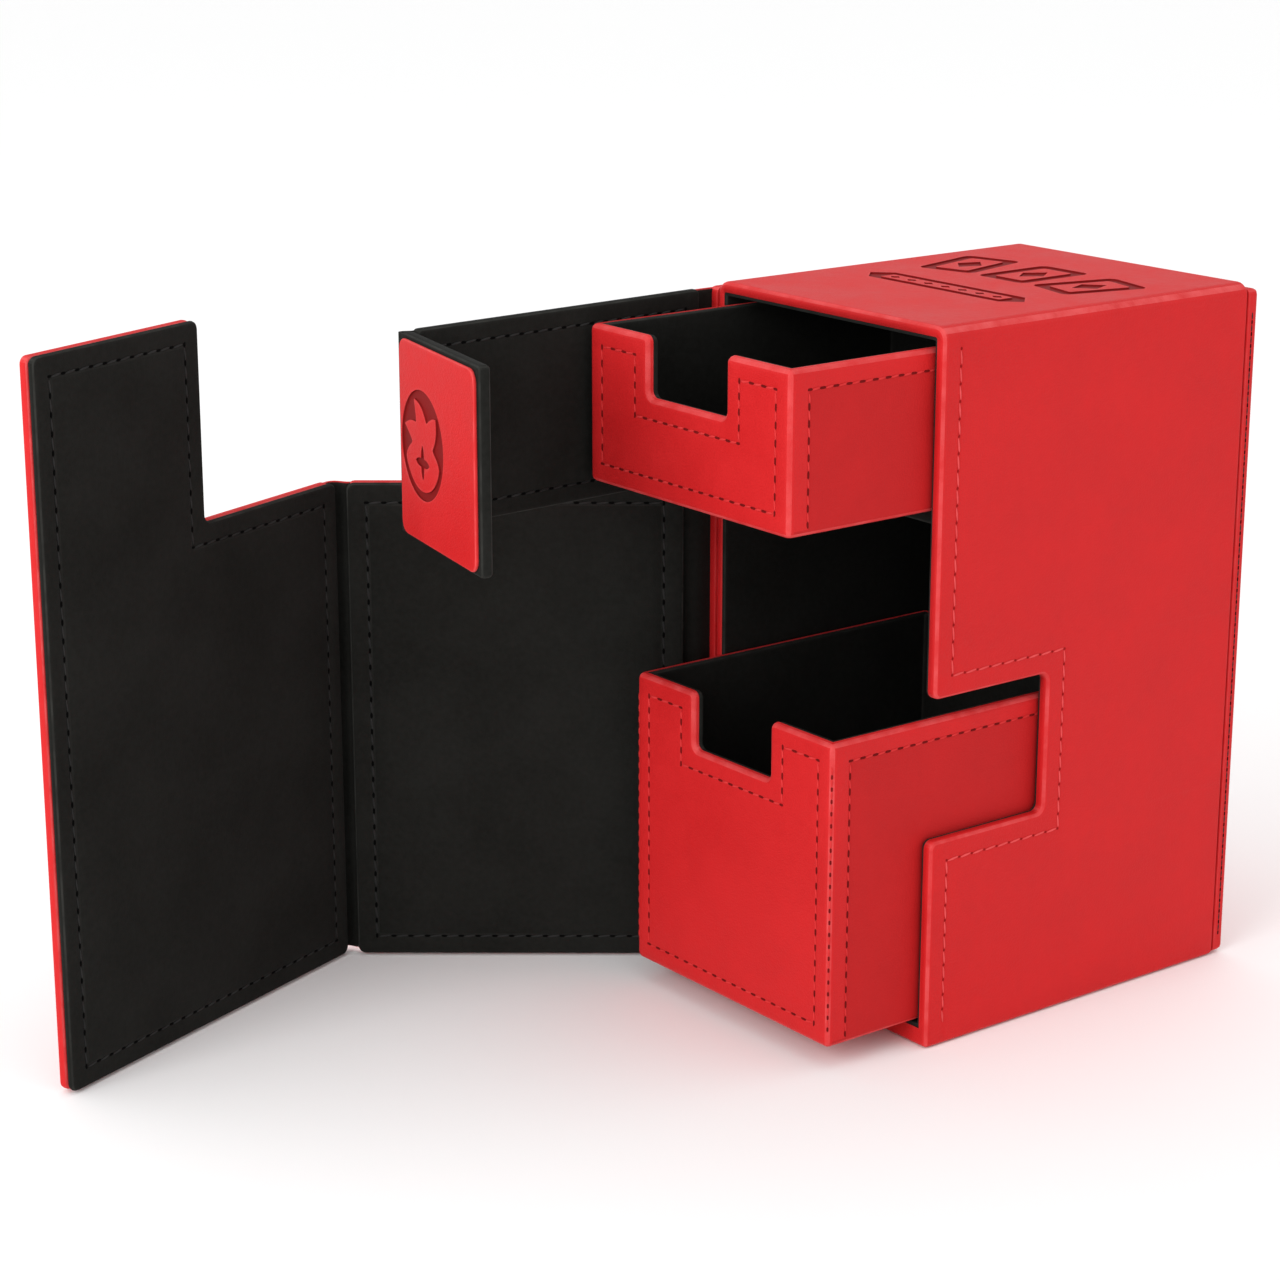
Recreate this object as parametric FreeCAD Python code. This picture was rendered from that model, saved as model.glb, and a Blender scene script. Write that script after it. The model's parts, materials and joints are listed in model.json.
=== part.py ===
"""Deck box: a rigid case with two pull-out trays and a hinged, magnetic wrap-around cover.

The origin is the centre of the underside of the case. +Z is up, -Y is the open front of the
case, +X is the side with the finger notch. The trays are modelled pulled out and the cover
panels swung open. All sizes are in millimetres and all angles in degrees.
"""
import FreeCAD, Part
import math
import os

Vector = FreeCAD.Vector
UP = Vector(0, 0, 1)

# Layers that everything is laminated from
SKIN = 0.6                 # leatherette
LINING = 0.4               # suede lining of the case and trays
CASE_BOARD = 1.8           # greyboard of the case walls
BASE_BOARD = 3.6           # doubled greyboard of the case floor
COVER_BOARD = 2.4          # greyboard of the fixed cover panels
TRAY_BOARD = 1.6           # greyboard of the trays
FOLD_LEATHER = 0.8         # folded leather of the hinge strips
EDGE_ROUND = 1.1           # outer edges of the wrapped boxes
GRIP = 1.0                 # how far a cutting tool runs past the faces it cuts

# Case
CASE_WIDTH = 66.0
CASE_DEPTH = 81.5
CASE_HEIGHT = 142.0
CASE_NOTCH_LOW = 42.6      # height of the notch's lower edge
CASE_NOTCH_HEIGHT = 28.4
CASE_NOTCH_DEPTH = 29.7
CASE_NOTCH_ROUND = 1.6

# Trays
TRAY_SIDE_GAP = 0.35       # each side, to the lining
TRAY_BACK_GAP = 0.3        # behind a tray that is pushed home
TRAY_FRONT_SETBACK = 0.4   # face of a closed tray behind the mouth of the case
TRAY_UNDER_GAP = 0.4
TRAY_NOTCH_WIDTH = 23.0
TRAY_NOTCH_DEPTH = 11.7
TRAY_NOTCH_ROUND = 2.0
LOWER_TRAY_HEIGHT = 61.0
UPPER_TRAY_HEIGHT = 30.9
UPPER_TRAY_HEADROOM = 1.5  # under the lining of the top
LOWER_TRAY_PULL = 23.0     # how far each tray is drawn out
UPPER_TRAY_PULL = 34.4

# Divider shelf
SHELF_BOARD = 2.0
SHELF_SETBACK = 2.75       # front edge behind the mouth of the case

# Cover: heights
COVER_LOW = 0.5            # lower edge above the surface it stands on
COVER_TOP_DROP = 1.4       # top edge below the top of the case
SLIT = 0.8                 # between the front panel and the strap
STRAP_HEIGHT = 38.2

# Cover: front and side panels
PANEL_BOARD = 1.5          # greyboard of the front and side panels
PANEL_PADDING = 1.9        # padded lining
COVER_CLEARANCE = 0.4      # between a closed cover and the case
HINGE_START = 1.2          # first edge of a panel from its hinge line
SIDE_BACK_SETBACK = 0.7    # far edge of the closed side panel before the back of the case
SIDE_RECESS_GAP = 1.0      # between the closed flap and the side panel
PANEL_ROUND = 1.6
FRONT_OPENING = 127.6      # how far the front panel is swung open
SIDE_FOLD = 57.5           # how far the side panel is folded in

# Cover: strap and flap
STRAP_BOARD = 1.4
STRAP_SKIN_INSET = 1.0
WRAP = 0.4                 # black cloth round the strap and flap boards
FLAP_WIDTH = 38.8
FLAP_BOARD = 1.6
FLAP_START = 1.6
PATCH = 0.8                # leather patch on the flap
PATCH_INSET = 0.8
PATCH_ROUND = 2.4
STRAP_OPENING = 87.4
FLAP_FOLD = 75.4
STRIP_END_GAP = 0.3        # between a hinge strip and the line it folds on

# Emblem pressed into the patch
EMBLEM_REACH = 13.3        # centre from the fold
EMBLEM_RADIUS = 10.2
EMBLEM_DEPTH = 0.35
STAR_LONG = 8.2
STAR_WAIST = 2.3

# Bar pressed into the top
BAR_LENGTH = 44.0
BAR_WIDTH = 7.0
BAR_DEPTH = 0.3
BAR_ROUND = 1.0
BAR_SETBACK = 27.0         # from the mouth of the case

# Magnets
MAGNET_RADIUS = 4.0
MAGNET_THICKNESS = 1.2
FLAP_MAGNET_REACH = 30.0   # from the flap's fold
FLAP_MAGNET_SPREAD = 11.0  # above and below the middle of the flap
SIDE_MAGNET_INSET = 10.2   # from the far edge of the side panel
SIDE_MAGNET_HEIGHTS = (28.0, 90.0)

# Places worked out from the sizes above
HALF_WIDTH = CASE_WIDTH / 2
HALF_DEPTH = CASE_DEPTH / 2
BOARD_X = HALF_WIDTH - SKIN
BOARD_Y = HALF_DEPTH - SKIN
BAY_X = BOARD_X - CASE_BOARD
BAY_BACK = BOARD_Y - CASE_BOARD
BAY_FLOOR = SKIN + BASE_BOARD
BAY_TOP = CASE_HEIGHT - SKIN - CASE_BOARD
COVER_TOP = CASE_HEIGHT - COVER_TOP_DROP
STRAP_LOW = COVER_TOP - STRAP_HEIGHT
PANEL_TOP = STRAP_LOW - SLIT
PANEL_SKIN_LAYER = SKIN + PANEL_BOARD
PANEL_THICKNESS = PANEL_SKIN_LAYER + PANEL_PADDING
STRAP_THICKNESS = SKIN + 2 * WRAP + STRAP_BOARD
FLAP_THICKNESS = PATCH + 2 * WRAP + FLAP_BOARD
COVER_X = -HALF_WIDTH - COVER_BOARD - SKIN
COVER_BACK = HALF_DEPTH + COVER_BOARD + SKIN
CORNER_X = HALF_WIDTH + COVER_CLEARANCE + PANEL_THICKNESS
PANEL_REACH = CORNER_X - COVER_X
PANEL_END = PANEL_REACH - PANEL_THICKNESS - COVER_CLEARANCE
STRAP_END = PANEL_REACH - FLAP_THICKNESS - COVER_CLEARANCE
PANEL_HINGE = Vector(COVER_X, -HALF_DEPTH - COVER_CLEARANCE - PANEL_THICKNESS, 0)
STRAP_HINGE = Vector(COVER_X, -HALF_DEPTH - COVER_CLEARANCE - STRAP_THICKNESS, 0)
SIDE_WIDTH = HALF_DEPTH - SIDE_BACK_SETBACK - PANEL_HINGE.y
SIDE_RECESS = STRAP_HINGE.y + FLAP_WIDTH + SIDE_RECESS_GAP - PANEL_HINGE.y
TRAY_WIDTH = 2 * (BAY_X - LINING - TRAY_SIDE_GAP)
TRAY_DEPTH = CASE_DEPTH - SKIN - CASE_BOARD - LINING - TRAY_BACK_GAP - TRAY_FRONT_SETBACK
TRAY_FACE = -HALF_DEPTH + TRAY_FRONT_SETBACK
LOWER_TRAY_FLOOR = BAY_FLOOR + LINING + TRAY_UNDER_GAP
UPPER_TRAY_FLOOR = BAY_TOP - LINING - UPPER_TRAY_HEADROOM - UPPER_TRAY_HEIGHT
SHELF_TOP = UPPER_TRAY_FLOOR - TRAY_UNDER_GAP
FLAP_MIDDLE = (STRAP_LOW + COVER_TOP) / 2


def block(x_low, x_high, y_low, y_high, z_low, z_high):
    """A box between two corners."""
    size = Vector(x_high - x_low, y_high - y_low, z_high - z_low)
    return Part.makeBox(size.x, size.y, size.z, Vector(x_low, y_low, z_low))


def rounded_wire(corners, lift):
    """A closed wire through right-angled (u, w, radius) corners; lift places a (u, w) point."""
    points = [Vector(u, w, 0) for u, w, _ in corners]
    count = len(points)
    ends = []
    for index, (_, _, radius) in enumerate(corners):
        here = points[index]
        back = (points[index - 1] - here).normalize()
        ahead = (points[(index + 1) % count] - here).normalize()
        middle = here + (back + ahead) * radius * (1 - math.sqrt(0.5))
        ends.append((here + back * radius, middle, here + ahead * radius))
    edges = []
    for index, (start, middle, stop) in enumerate(ends):
        if corners[index][2] > 0:
            edges.append(Part.Arc(lift(start), lift(middle), lift(stop)).toShape())
        following = ends[(index + 1) % count][0]
        edges.append(Part.LineSegment(lift(stop), lift(following)).toShape())
    return Part.Wire(edges)


def prism(corners, normal, low, high):
    """A solid with rounded (u, w, radius) corners, between low and high along X, Y or Z."""
    lifts = {
        "x": lambda p: Vector(low, p.x, p.y),
        "y": lambda p: Vector(p.x, low, p.y),
        "z": lambda p: Vector(p.x, p.y, low),
    }
    steps = {"x": Vector(1, 0, 0), "y": Vector(0, 1, 0), "z": Vector(0, 0, 1)}
    face = Part.Face(rounded_wire(corners, lifts[normal]))
    return face.extrude(steps[normal] * (high - low))


def rectangle(u_low, u_high, w_low, w_high, radius):
    """Four (u, w, radius) corners of a rectangle."""
    return [(u_low, w_low, radius), (u_high, w_low, radius),
            (u_high, w_high, radius), (u_low, w_high, radius)]


def disc(u, v, w):
    """A magnet in a panel's own frame, with its flat face at depth v."""
    return Part.makeCylinder(MAGNET_RADIUS, MAGNET_THICKNESS, Vector(u, v, w), Vector(0, 1, 0))


def swing(shape, hinge, opening):
    """Turn a panel, drawn closed with its hinge line at the origin, to its opening angle."""
    placed = shape.copy()
    placed.translate(hinge)
    placed.rotate(hinge, UP, -opening)
    return placed


def along(hinge, opening, reach):
    """The point at a distance from a hinge, on a panel swung open by an angle."""
    turn = math.radians(opening)
    return hinge + Vector(math.cos(turn), -math.sin(turn), 0) * reach


SIDE_HINGE = along(PANEL_HINGE, FRONT_OPENING, PANEL_REACH)
FLAP_HINGE = along(STRAP_HINGE, STRAP_OPENING, PANEL_REACH)


# Case ------------------------------------------------------------------------------------

def case_notch(margin, x_low, x_high):
    """The cut for the finger notch in the right wall, widened by a margin."""
    low = CASE_NOTCH_LOW - margin
    high = CASE_NOTCH_LOW + CASE_NOTCH_HEIGHT + margin
    back = -HALF_DEPTH + CASE_NOTCH_DEPTH + margin
    front = -HALF_DEPTH - GRIP
    radius = CASE_NOTCH_ROUND + margin
    corners = [(front, low, 0), (back, low, radius), (back, high, radius), (front, high, 0)]
    return prism(corners, "x", x_low, x_high)


def case_magnets():
    """Discs in the right board, behind the closed flap's and side panel's own magnets."""
    places = [(STRAP_HINGE.y + FLAP_MAGNET_REACH, FLAP_MIDDLE - FLAP_MAGNET_SPREAD),
              (STRAP_HINGE.y + FLAP_MAGNET_REACH, FLAP_MIDDLE + FLAP_MAGNET_SPREAD)]
    reach = PANEL_HINGE.y + SIDE_WIDTH - SIDE_MAGNET_INSET
    places += [(reach, height) for height in SIDE_MAGNET_HEIGHTS]
    centres = [Vector(BOARD_X - MAGNET_THICKNESS, y, z) for y, z in places]
    discs = [Part.makeCylinder(MAGNET_RADIUS, MAGNET_THICKNESS, centre, Vector(1, 0, 0))
             for centre in centres]
    return Part.makeCompound(discs)


def case_skin():
    """Leatherette over the top, back, sides and mouth edges, open underneath."""
    outer = block(-HALF_WIDTH, HALF_WIDTH, -HALF_DEPTH, HALF_DEPTH, SKIN, CASE_HEIGHT)
    rounded = [edge for edge in outer.Edges if edge.CenterOfMass.z > SKIN + GRIP]
    outer = outer.makeFillet(EDGE_ROUND, rounded)
    boards = block(-BOARD_X, BOARD_X, -BOARD_Y, BOARD_Y, SKIN - GRIP, CASE_HEIGHT - SKIN)
    boards = boards.cut(case_notch(SKIN, BAY_X, HALF_WIDTH + GRIP))
    mouth = block(-BAY_X, BAY_X, -HALF_DEPTH - GRIP, 0, BAY_FLOOR, BAY_TOP)
    notch = case_notch(0, BAY_X - GRIP, HALF_WIDTH + GRIP)
    bar_y = -HALF_DEPTH + BAR_SETBACK
    bar_outline = rectangle(-BAR_LENGTH / 2, BAR_LENGTH / 2, bar_y, bar_y + BAR_WIDTH, BAR_ROUND)
    bar = prism(bar_outline, "z", CASE_HEIGHT - BAR_DEPTH, CASE_HEIGHT + GRIP)
    return outer.cut(boards).cut(mouth).cut(notch).cut(bar)


def case_lining():
    """Suede on the floor, walls, back and top of the inside."""
    outer = block(-BAY_X, BAY_X, -HALF_DEPTH, BAY_BACK, BAY_FLOOR, BAY_TOP)
    inner = block(-BAY_X + LINING, BAY_X - LINING, -HALF_DEPTH - GRIP, BAY_BACK - LINING,
                  BAY_FLOOR + LINING, BAY_TOP - LINING)
    return outer.cut(inner).cut(case_notch(0, 0, BAY_X + GRIP))


def build_case():
    """Boards, skins, lining, divider shelf and magnets of the case."""
    magnets = case_magnets()
    right = block(BAY_X, BOARD_X, -BOARD_Y, BOARD_Y, BAY_FLOOR, BAY_TOP)
    right = right.cut(case_notch(SKIN, BAY_X - GRIP, HALF_WIDTH)).cut(magnets)
    shelf_x = BAY_X - LINING
    shelf_front = -HALF_DEPTH + SHELF_SETBACK
    shelf_back = BAY_BACK - LINING
    shelf_low = SHELF_TOP - SHELF_BOARD - 2 * LINING
    shelf = block(-shelf_x, shelf_x, shelf_front + LINING, shelf_back,
                  shelf_low + LINING, SHELF_TOP - LINING)
    wrap = block(-shelf_x, shelf_x, shelf_front, shelf_back, shelf_low, SHELF_TOP)
    return {
        "base_skin": block(-HALF_WIDTH, HALF_WIDTH, -HALF_DEPTH, HALF_DEPTH, 0, SKIN),
        "case_base_board": block(-BOARD_X, BOARD_X, -BOARD_Y, BOARD_Y, SKIN, BAY_FLOOR),
        "case_top_board": block(-BOARD_X, BOARD_X, -BOARD_Y, BOARD_Y,
                                BAY_TOP, CASE_HEIGHT - SKIN),
        "case_left_board": block(-BOARD_X, -BAY_X, -BOARD_Y, BOARD_Y, BAY_FLOOR, BAY_TOP),
        "case_right_board": right,
        "case_back_board": block(-BAY_X, BAY_X, BAY_BACK, BOARD_Y, BAY_FLOOR, BAY_TOP),
        "case_skin": case_skin(),
        "case_lining": case_lining(),
        "divider_shelf_board": shelf,
        "divider_shelf_wrap": wrap.cut(shelf),
        "case_magnets": magnets,
    }


# Fixed part of the cover -----------------------------------------------------------------

def hinge_strip(hinge, low, high):
    """Leather from the front edge of the fixed cover to just short of a hinge line."""
    return block(COVER_X, COVER_X + FOLD_LEATHER, hinge.y + STRIP_END_GAP, -HALF_DEPTH, low, high)


def build_fixed_cover():
    """Left and back boards, their common skin, and the two hinge strips."""
    low = COVER_LOW + SKIN
    high = COVER_TOP - SKIN
    left = block(COVER_X + SKIN, -HALF_WIDTH, -BOARD_Y, COVER_BACK - SKIN, low, high)
    back = block(-HALF_WIDTH, BOARD_X, HALF_DEPTH, COVER_BACK - SKIN, low, high)
    skin = block(COVER_X, HALF_WIDTH, -HALF_DEPTH, COVER_BACK, COVER_LOW, COVER_TOP)
    corner = [edge for edge in skin.Edges
              if edge.CenterOfMass.x < COVER_X + GRIP and edge.CenterOfMass.y > COVER_BACK - GRIP]
    skin = skin.makeFillet(EDGE_ROUND, corner)
    case = block(-HALF_WIDTH, HALF_WIDTH + GRIP, -HALF_DEPTH - GRIP, HALF_DEPTH, 0, CASE_HEIGHT)
    return {
        "cover_left_board": left,
        "cover_back_board": back,
        "cover_skin": skin.cut(case).cut(left).cut(back),
        "front_hinge_strip": hinge_strip(PANEL_HINGE, COVER_LOW, PANEL_TOP),
        "strap_hinge_strip": hinge_strip(STRAP_HINGE, STRAP_LOW, COVER_TOP),
    }


# Swinging panels -------------------------------------------------------------------------

def laminate(name, outline, hinge, opening, pockets=None):
    """Skin wrapped round a board, with a padded lining; outline takes an inset."""
    board = prism(outline(SKIN), "y", SKIN, PANEL_SKIN_LAYER)
    skin = prism(outline(0), "y", 0, PANEL_SKIN_LAYER).cut(board)
    lining = prism(outline(0), "y", PANEL_SKIN_LAYER, PANEL_THICKNESS)
    if pockets:
        board = board.cut(pockets)
    pieces = {"board": board, "skin": skin, "lining": lining}
    return {f"{name}_{part}": swing(shape, hinge, opening) for part, shape in pieces.items()}


def front_outline(inset):
    """Corners of the front panel."""
    return rectangle(HINGE_START + inset, PANEL_END - inset, COVER_LOW + inset, PANEL_TOP - inset,
                     PANEL_ROUND - inset)


def side_outline(inset):
    """Corners of the L-shaped side panel, whose recess takes the closed flap."""
    near = HINGE_START + inset
    far = SIDE_WIDTH - inset
    step = SIDE_RECESS + inset
    radius = PANEL_ROUND - inset
    return [(near, COVER_LOW + inset, radius), (far, COVER_LOW + inset, radius),
            (far, COVER_TOP - inset, radius), (step, COVER_TOP - inset, radius),
            (step, PANEL_TOP - inset, PANEL_ROUND + inset), (near, PANEL_TOP - inset, radius)]


def build_front_panel():
    """Front panel with the leather strip that it folds on."""
    nodes = laminate("front_panel", front_outline, PANEL_HINGE, FRONT_OPENING)
    strip = block(PANEL_END, PANEL_REACH - STRIP_END_GAP, 0, FOLD_LEATHER, COVER_LOW, PANEL_TOP)
    nodes["side_fold_strip"] = swing(strip, PANEL_HINGE, FRONT_OPENING)
    return nodes


def build_side_panel():
    """L-shaped side panel and its two magnets."""
    depth = PANEL_SKIN_LAYER - MAGNET_THICKNESS
    reach = SIDE_WIDTH - SIDE_MAGNET_INSET
    magnets = Part.makeCompound([disc(reach, depth, height) for height in SIDE_MAGNET_HEIGHTS])
    opening = FRONT_OPENING - SIDE_FOLD
    nodes = laminate("side_panel", side_outline, SIDE_HINGE, opening, magnets)
    nodes["side_panel_magnets"] = swing(magnets, SIDE_HINGE, opening)
    return nodes


def build_strap():
    """Strap across the upper tray: board in black cloth, red skin, and a fold strip."""
    def outline(inset):
        return rectangle(HINGE_START + inset, STRAP_END - inset, STRAP_LOW + inset,
                         COVER_TOP - inset, PANEL_ROUND - inset)

    board = prism(outline(SKIN), "y", SKIN + WRAP, STRAP_THICKNESS - WRAP)
    wrap = prism(outline(0), "y", SKIN, STRAP_THICKNESS).cut(board)
    skin = prism(outline(STRAP_SKIN_INSET), "y", 0, SKIN)
    strip = block(STRAP_END, PANEL_REACH - STRIP_END_GAP, SKIN, 2 * SKIN, STRAP_LOW, COVER_TOP)
    pieces = {"strap_board": board, "strap_wrap": wrap, "strap_skin": skin,
              "flap_fold_strip": strip}
    return {node: swing(shape, STRAP_HINGE, STRAP_OPENING) for node, shape in pieces.items()}


def star_prism(depth):
    """A four-pointed star that stands inside the emblem's circle."""
    points = []
    for step in range(8):
        radius = STAR_LONG if step % 2 == 0 else STAR_WAIST
        turn = math.radians(45 * step)
        points.append(Vector(EMBLEM_REACH + radius * math.cos(turn), -GRIP,
                             FLAP_MIDDLE + radius * math.sin(turn)))
    face = Part.Face(Part.makePolygon(points + points[:1]))
    return face.extrude(Vector(0, depth + GRIP, 0))


def build_flap():
    """Closing flap: board in black cloth, patch with the emblem, and two magnets."""
    def outline(inset, radius):
        return rectangle(FLAP_START + inset, FLAP_WIDTH - inset, STRAP_LOW + inset,
                         COVER_TOP - inset, radius)

    depth = FLAP_THICKNESS - WRAP - MAGNET_THICKNESS
    heights = (FLAP_MIDDLE - FLAP_MAGNET_SPREAD, FLAP_MIDDLE + FLAP_MAGNET_SPREAD)
    magnets = Part.makeCompound([disc(FLAP_MAGNET_REACH, depth, height) for height in heights])
    board = prism(outline(SKIN, PANEL_ROUND - SKIN), "y", PATCH + WRAP, FLAP_THICKNESS - WRAP)
    wrap = prism(outline(0, PANEL_ROUND), "y", PATCH, FLAP_THICKNESS).cut(board)
    patch = prism(outline(PATCH_INSET, PATCH_ROUND), "y", 0, PATCH)
    circle = Part.makeCylinder(EMBLEM_RADIUS, EMBLEM_DEPTH + GRIP,
                               Vector(EMBLEM_REACH, -GRIP, FLAP_MIDDLE), Vector(0, 1, 0))
    patch = patch.cut(circle.cut(star_prism(EMBLEM_DEPTH)))
    pieces = {"flap_board": board.cut(magnets), "flap_wrap": wrap, "flap_patch": patch,
              "flap_magnets": magnets}
    opening = STRAP_OPENING - FLAP_FOLD
    return {node: swing(shape, FLAP_HINGE, opening) for node, shape in pieces.items()}


# Trays -----------------------------------------------------------------------------------

def tray_notch(margin, face, top):
    """The cut for the finger notch in a tray's front wall, widened by a margin."""
    half = TRAY_NOTCH_WIDTH / 2 + margin
    low = top - TRAY_NOTCH_DEPTH - margin
    high = top + GRIP
    radius = TRAY_NOTCH_ROUND + margin
    corners = [(-half, low, radius), (half, low, radius), (half, high, 0), (-half, high, 0)]
    return prism(corners, "y", face - GRIP, face + TRAY_DEPTH / 2)


def build_tray(name, floor, height, pull):
    """Five boards, skin and lining of a tray that is drawn out by a distance."""
    face = TRAY_FACE - pull
    back = face + TRAY_DEPTH
    top = floor + height
    half = TRAY_WIDTH / 2
    wall = SKIN + TRAY_BOARD
    inside = wall + LINING
    outer = block(-half, half, face, back, floor, top)
    rounded = [edge for edge in outer.Edges if abs(edge.CenterOfMass.z - floor - height / 2) < GRIP]
    outer = outer.makeFillet(EDGE_ROUND, rounded)
    boards = block(-half + SKIN, half - SKIN, face + SKIN, back - SKIN, floor + SKIN, top - SKIN)
    boards = boards.cut(tray_notch(SKIN, face, top))
    hollow = block(-half + wall, half - wall, face + wall, back - wall, floor + wall, top + GRIP)
    skin = outer.cut(boards).cut(hollow).cut(tray_notch(0, face, top))
    lining = block(-half + wall, half - wall, face + wall, back - wall, floor + wall, top)
    room = block(-half + inside, half - inside, face + inside, back - inside,
                 floor + inside, top + GRIP)
    side_low = floor + wall
    side_high = top - SKIN
    front = block(-half + wall, half - wall, face + SKIN, face + wall, side_low, side_high)
    return {
        f"{name}_floor_board": block(-half + SKIN, half - SKIN, face + SKIN, back - SKIN,
                                     floor + SKIN, side_low),
        f"{name}_left_board": block(-half + SKIN, -half + wall, face + SKIN, back - SKIN,
                                    side_low, side_high),
        f"{name}_right_board": block(half - wall, half - SKIN, face + SKIN, back - SKIN,
                                     side_low, side_high),
        f"{name}_front_board": front.cut(tray_notch(SKIN, face, top)),
        f"{name}_back_board": block(-half + wall, half - wall, back - wall, back - SKIN,
                                    side_low, side_high),
        f"{name}_skin": skin,
        f"{name}_lining": lining.cut(room).cut(tray_notch(0, face, top)),
    }


def build_all():
    """Every node of the deck box, by name."""
    nodes = {}
    nodes.update(build_case())
    nodes.update(build_fixed_cover())
    nodes.update(build_front_panel())
    nodes.update(build_side_panel())
    nodes.update(build_strap())
    nodes.update(build_flap())
    nodes.update(build_tray("lower_tray", LOWER_TRAY_FLOOR, LOWER_TRAY_HEIGHT, LOWER_TRAY_PULL))
    nodes.update(build_tray("upper_tray", UPPER_TRAY_FLOOR, UPPER_TRAY_HEIGHT, UPPER_TRAY_PULL))
    return nodes


os.makedirs("parts", exist_ok=True)
for node, shape in build_all().items():
    solids = shape.Solids
    if not solids or not shape.isValid():
        raise ValueError(f"{node} isn't a sound solid")
    whole = solids[0] if len(solids) == 1 else Part.makeCompound(solids)
    whole.exportStep(f"parts/{node}.step")
    print(f"{node}: {len(solids)} solid(s), {whole.Volume:.1f} mm3")

for name, hinge in (("front panel", PANEL_HINGE), ("side panel", SIDE_HINGE),
                    ("strap", STRAP_HINGE), ("flap", FLAP_HINGE)):
    print(f"{name} hinge line at x {hinge.x:.4f}, y {hinge.y:.4f}")
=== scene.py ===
"""Looks of a leatherette deck box: a case with two drawn-out trays and a wrap-round folding cover.

Lengths inside the classes are millimetres, as on a maker's drawing, and become metres when a
mesh is finished. Places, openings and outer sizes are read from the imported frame.
"""

import json
import logging
import math
from dataclasses import dataclass, replace
from enum import Enum
from typing import Callable, Iterable, Sequence

import bmesh
import bpy
from bmesh.types import BMEdge, BMesh, BMFace, BMVert
from mathutils import Matrix, Vector


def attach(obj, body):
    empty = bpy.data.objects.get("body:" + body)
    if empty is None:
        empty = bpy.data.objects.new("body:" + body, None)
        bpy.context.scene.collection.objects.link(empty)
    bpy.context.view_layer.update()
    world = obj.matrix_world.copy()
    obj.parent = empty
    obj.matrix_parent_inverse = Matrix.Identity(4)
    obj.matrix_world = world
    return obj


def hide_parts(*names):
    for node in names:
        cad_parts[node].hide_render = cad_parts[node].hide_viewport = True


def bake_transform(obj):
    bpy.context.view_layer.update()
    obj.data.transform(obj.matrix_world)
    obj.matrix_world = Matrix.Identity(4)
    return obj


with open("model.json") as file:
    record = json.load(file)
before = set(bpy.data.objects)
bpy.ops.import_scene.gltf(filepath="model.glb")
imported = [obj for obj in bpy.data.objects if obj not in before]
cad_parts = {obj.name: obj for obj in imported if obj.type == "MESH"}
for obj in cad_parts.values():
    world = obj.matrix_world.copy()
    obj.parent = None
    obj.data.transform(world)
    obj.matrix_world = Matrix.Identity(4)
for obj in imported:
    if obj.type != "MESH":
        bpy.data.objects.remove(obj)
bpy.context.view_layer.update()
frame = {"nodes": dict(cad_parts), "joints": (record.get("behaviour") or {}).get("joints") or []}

LOG = logging.getLogger("deck_box")
MM = 0.001
SHARP = math.radians(30.0)
ON_PLANE = 0.02  # how far off a plane or line a point may lie and still count as on it
ALIGNED = 0.999  # how well a face must look one way to count as facing it
CUT_SNAP = 1e-4  # a corner this near to a cut is on it
LEATHER_SHEET = 0.6
SUEDE_SHEET = 0.4
RIM_DROP = 0.15  # how far the rim of a lining lies below the leather's
MITRE_LIMIT = 0.5  # the least share of a corner's shift that faces its wall
SIDEWAYS = 0.9  # the least x of the normal of a side wall's face
LEFTWARD = -0.3  # a corner whose normal has less x than this belongs to the -x side
RIGHT = Vector((1.0, 0.0, 0.0))
BACK = Vector((0.0, 1.0, 0.0))
UP = Vector((0.0, 0.0, 1.0))

PAINTED_HIGHLIGHT = "highlight_and_wear"  # the colour attribute that marks rounded edges for their painted highlight
HIGHLIGHT_STARTS = 0.93  # a facet's largest normal component where the painted highlight starts
HIGHLIGHT_SPAN = 0.12

Point = tuple[float, float]
Colour = tuple[float, float, float]
Path = list[Vector]
Row = tuple[Path, Vector]
Socket = bpy.types.NodeSocket


class Slot(Enum):
    """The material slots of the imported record."""

    LEATHER = "red_leatherette"
    SUEDE = "black_suede"
    BOARD = "greyboard"
    MAGNET = "magnet"


# ---------------------------------------------------------------- finishes


class Effect(Enum):
    """The effects that several finishes share, each one node group."""

    GRAIN = "pebble_grain"
    # Edge wear together with the painted highlight of rounded edges.
    WEAR = "edge_wear_and_highlight"
    FIBRE = "brushed_fibre"


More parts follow.
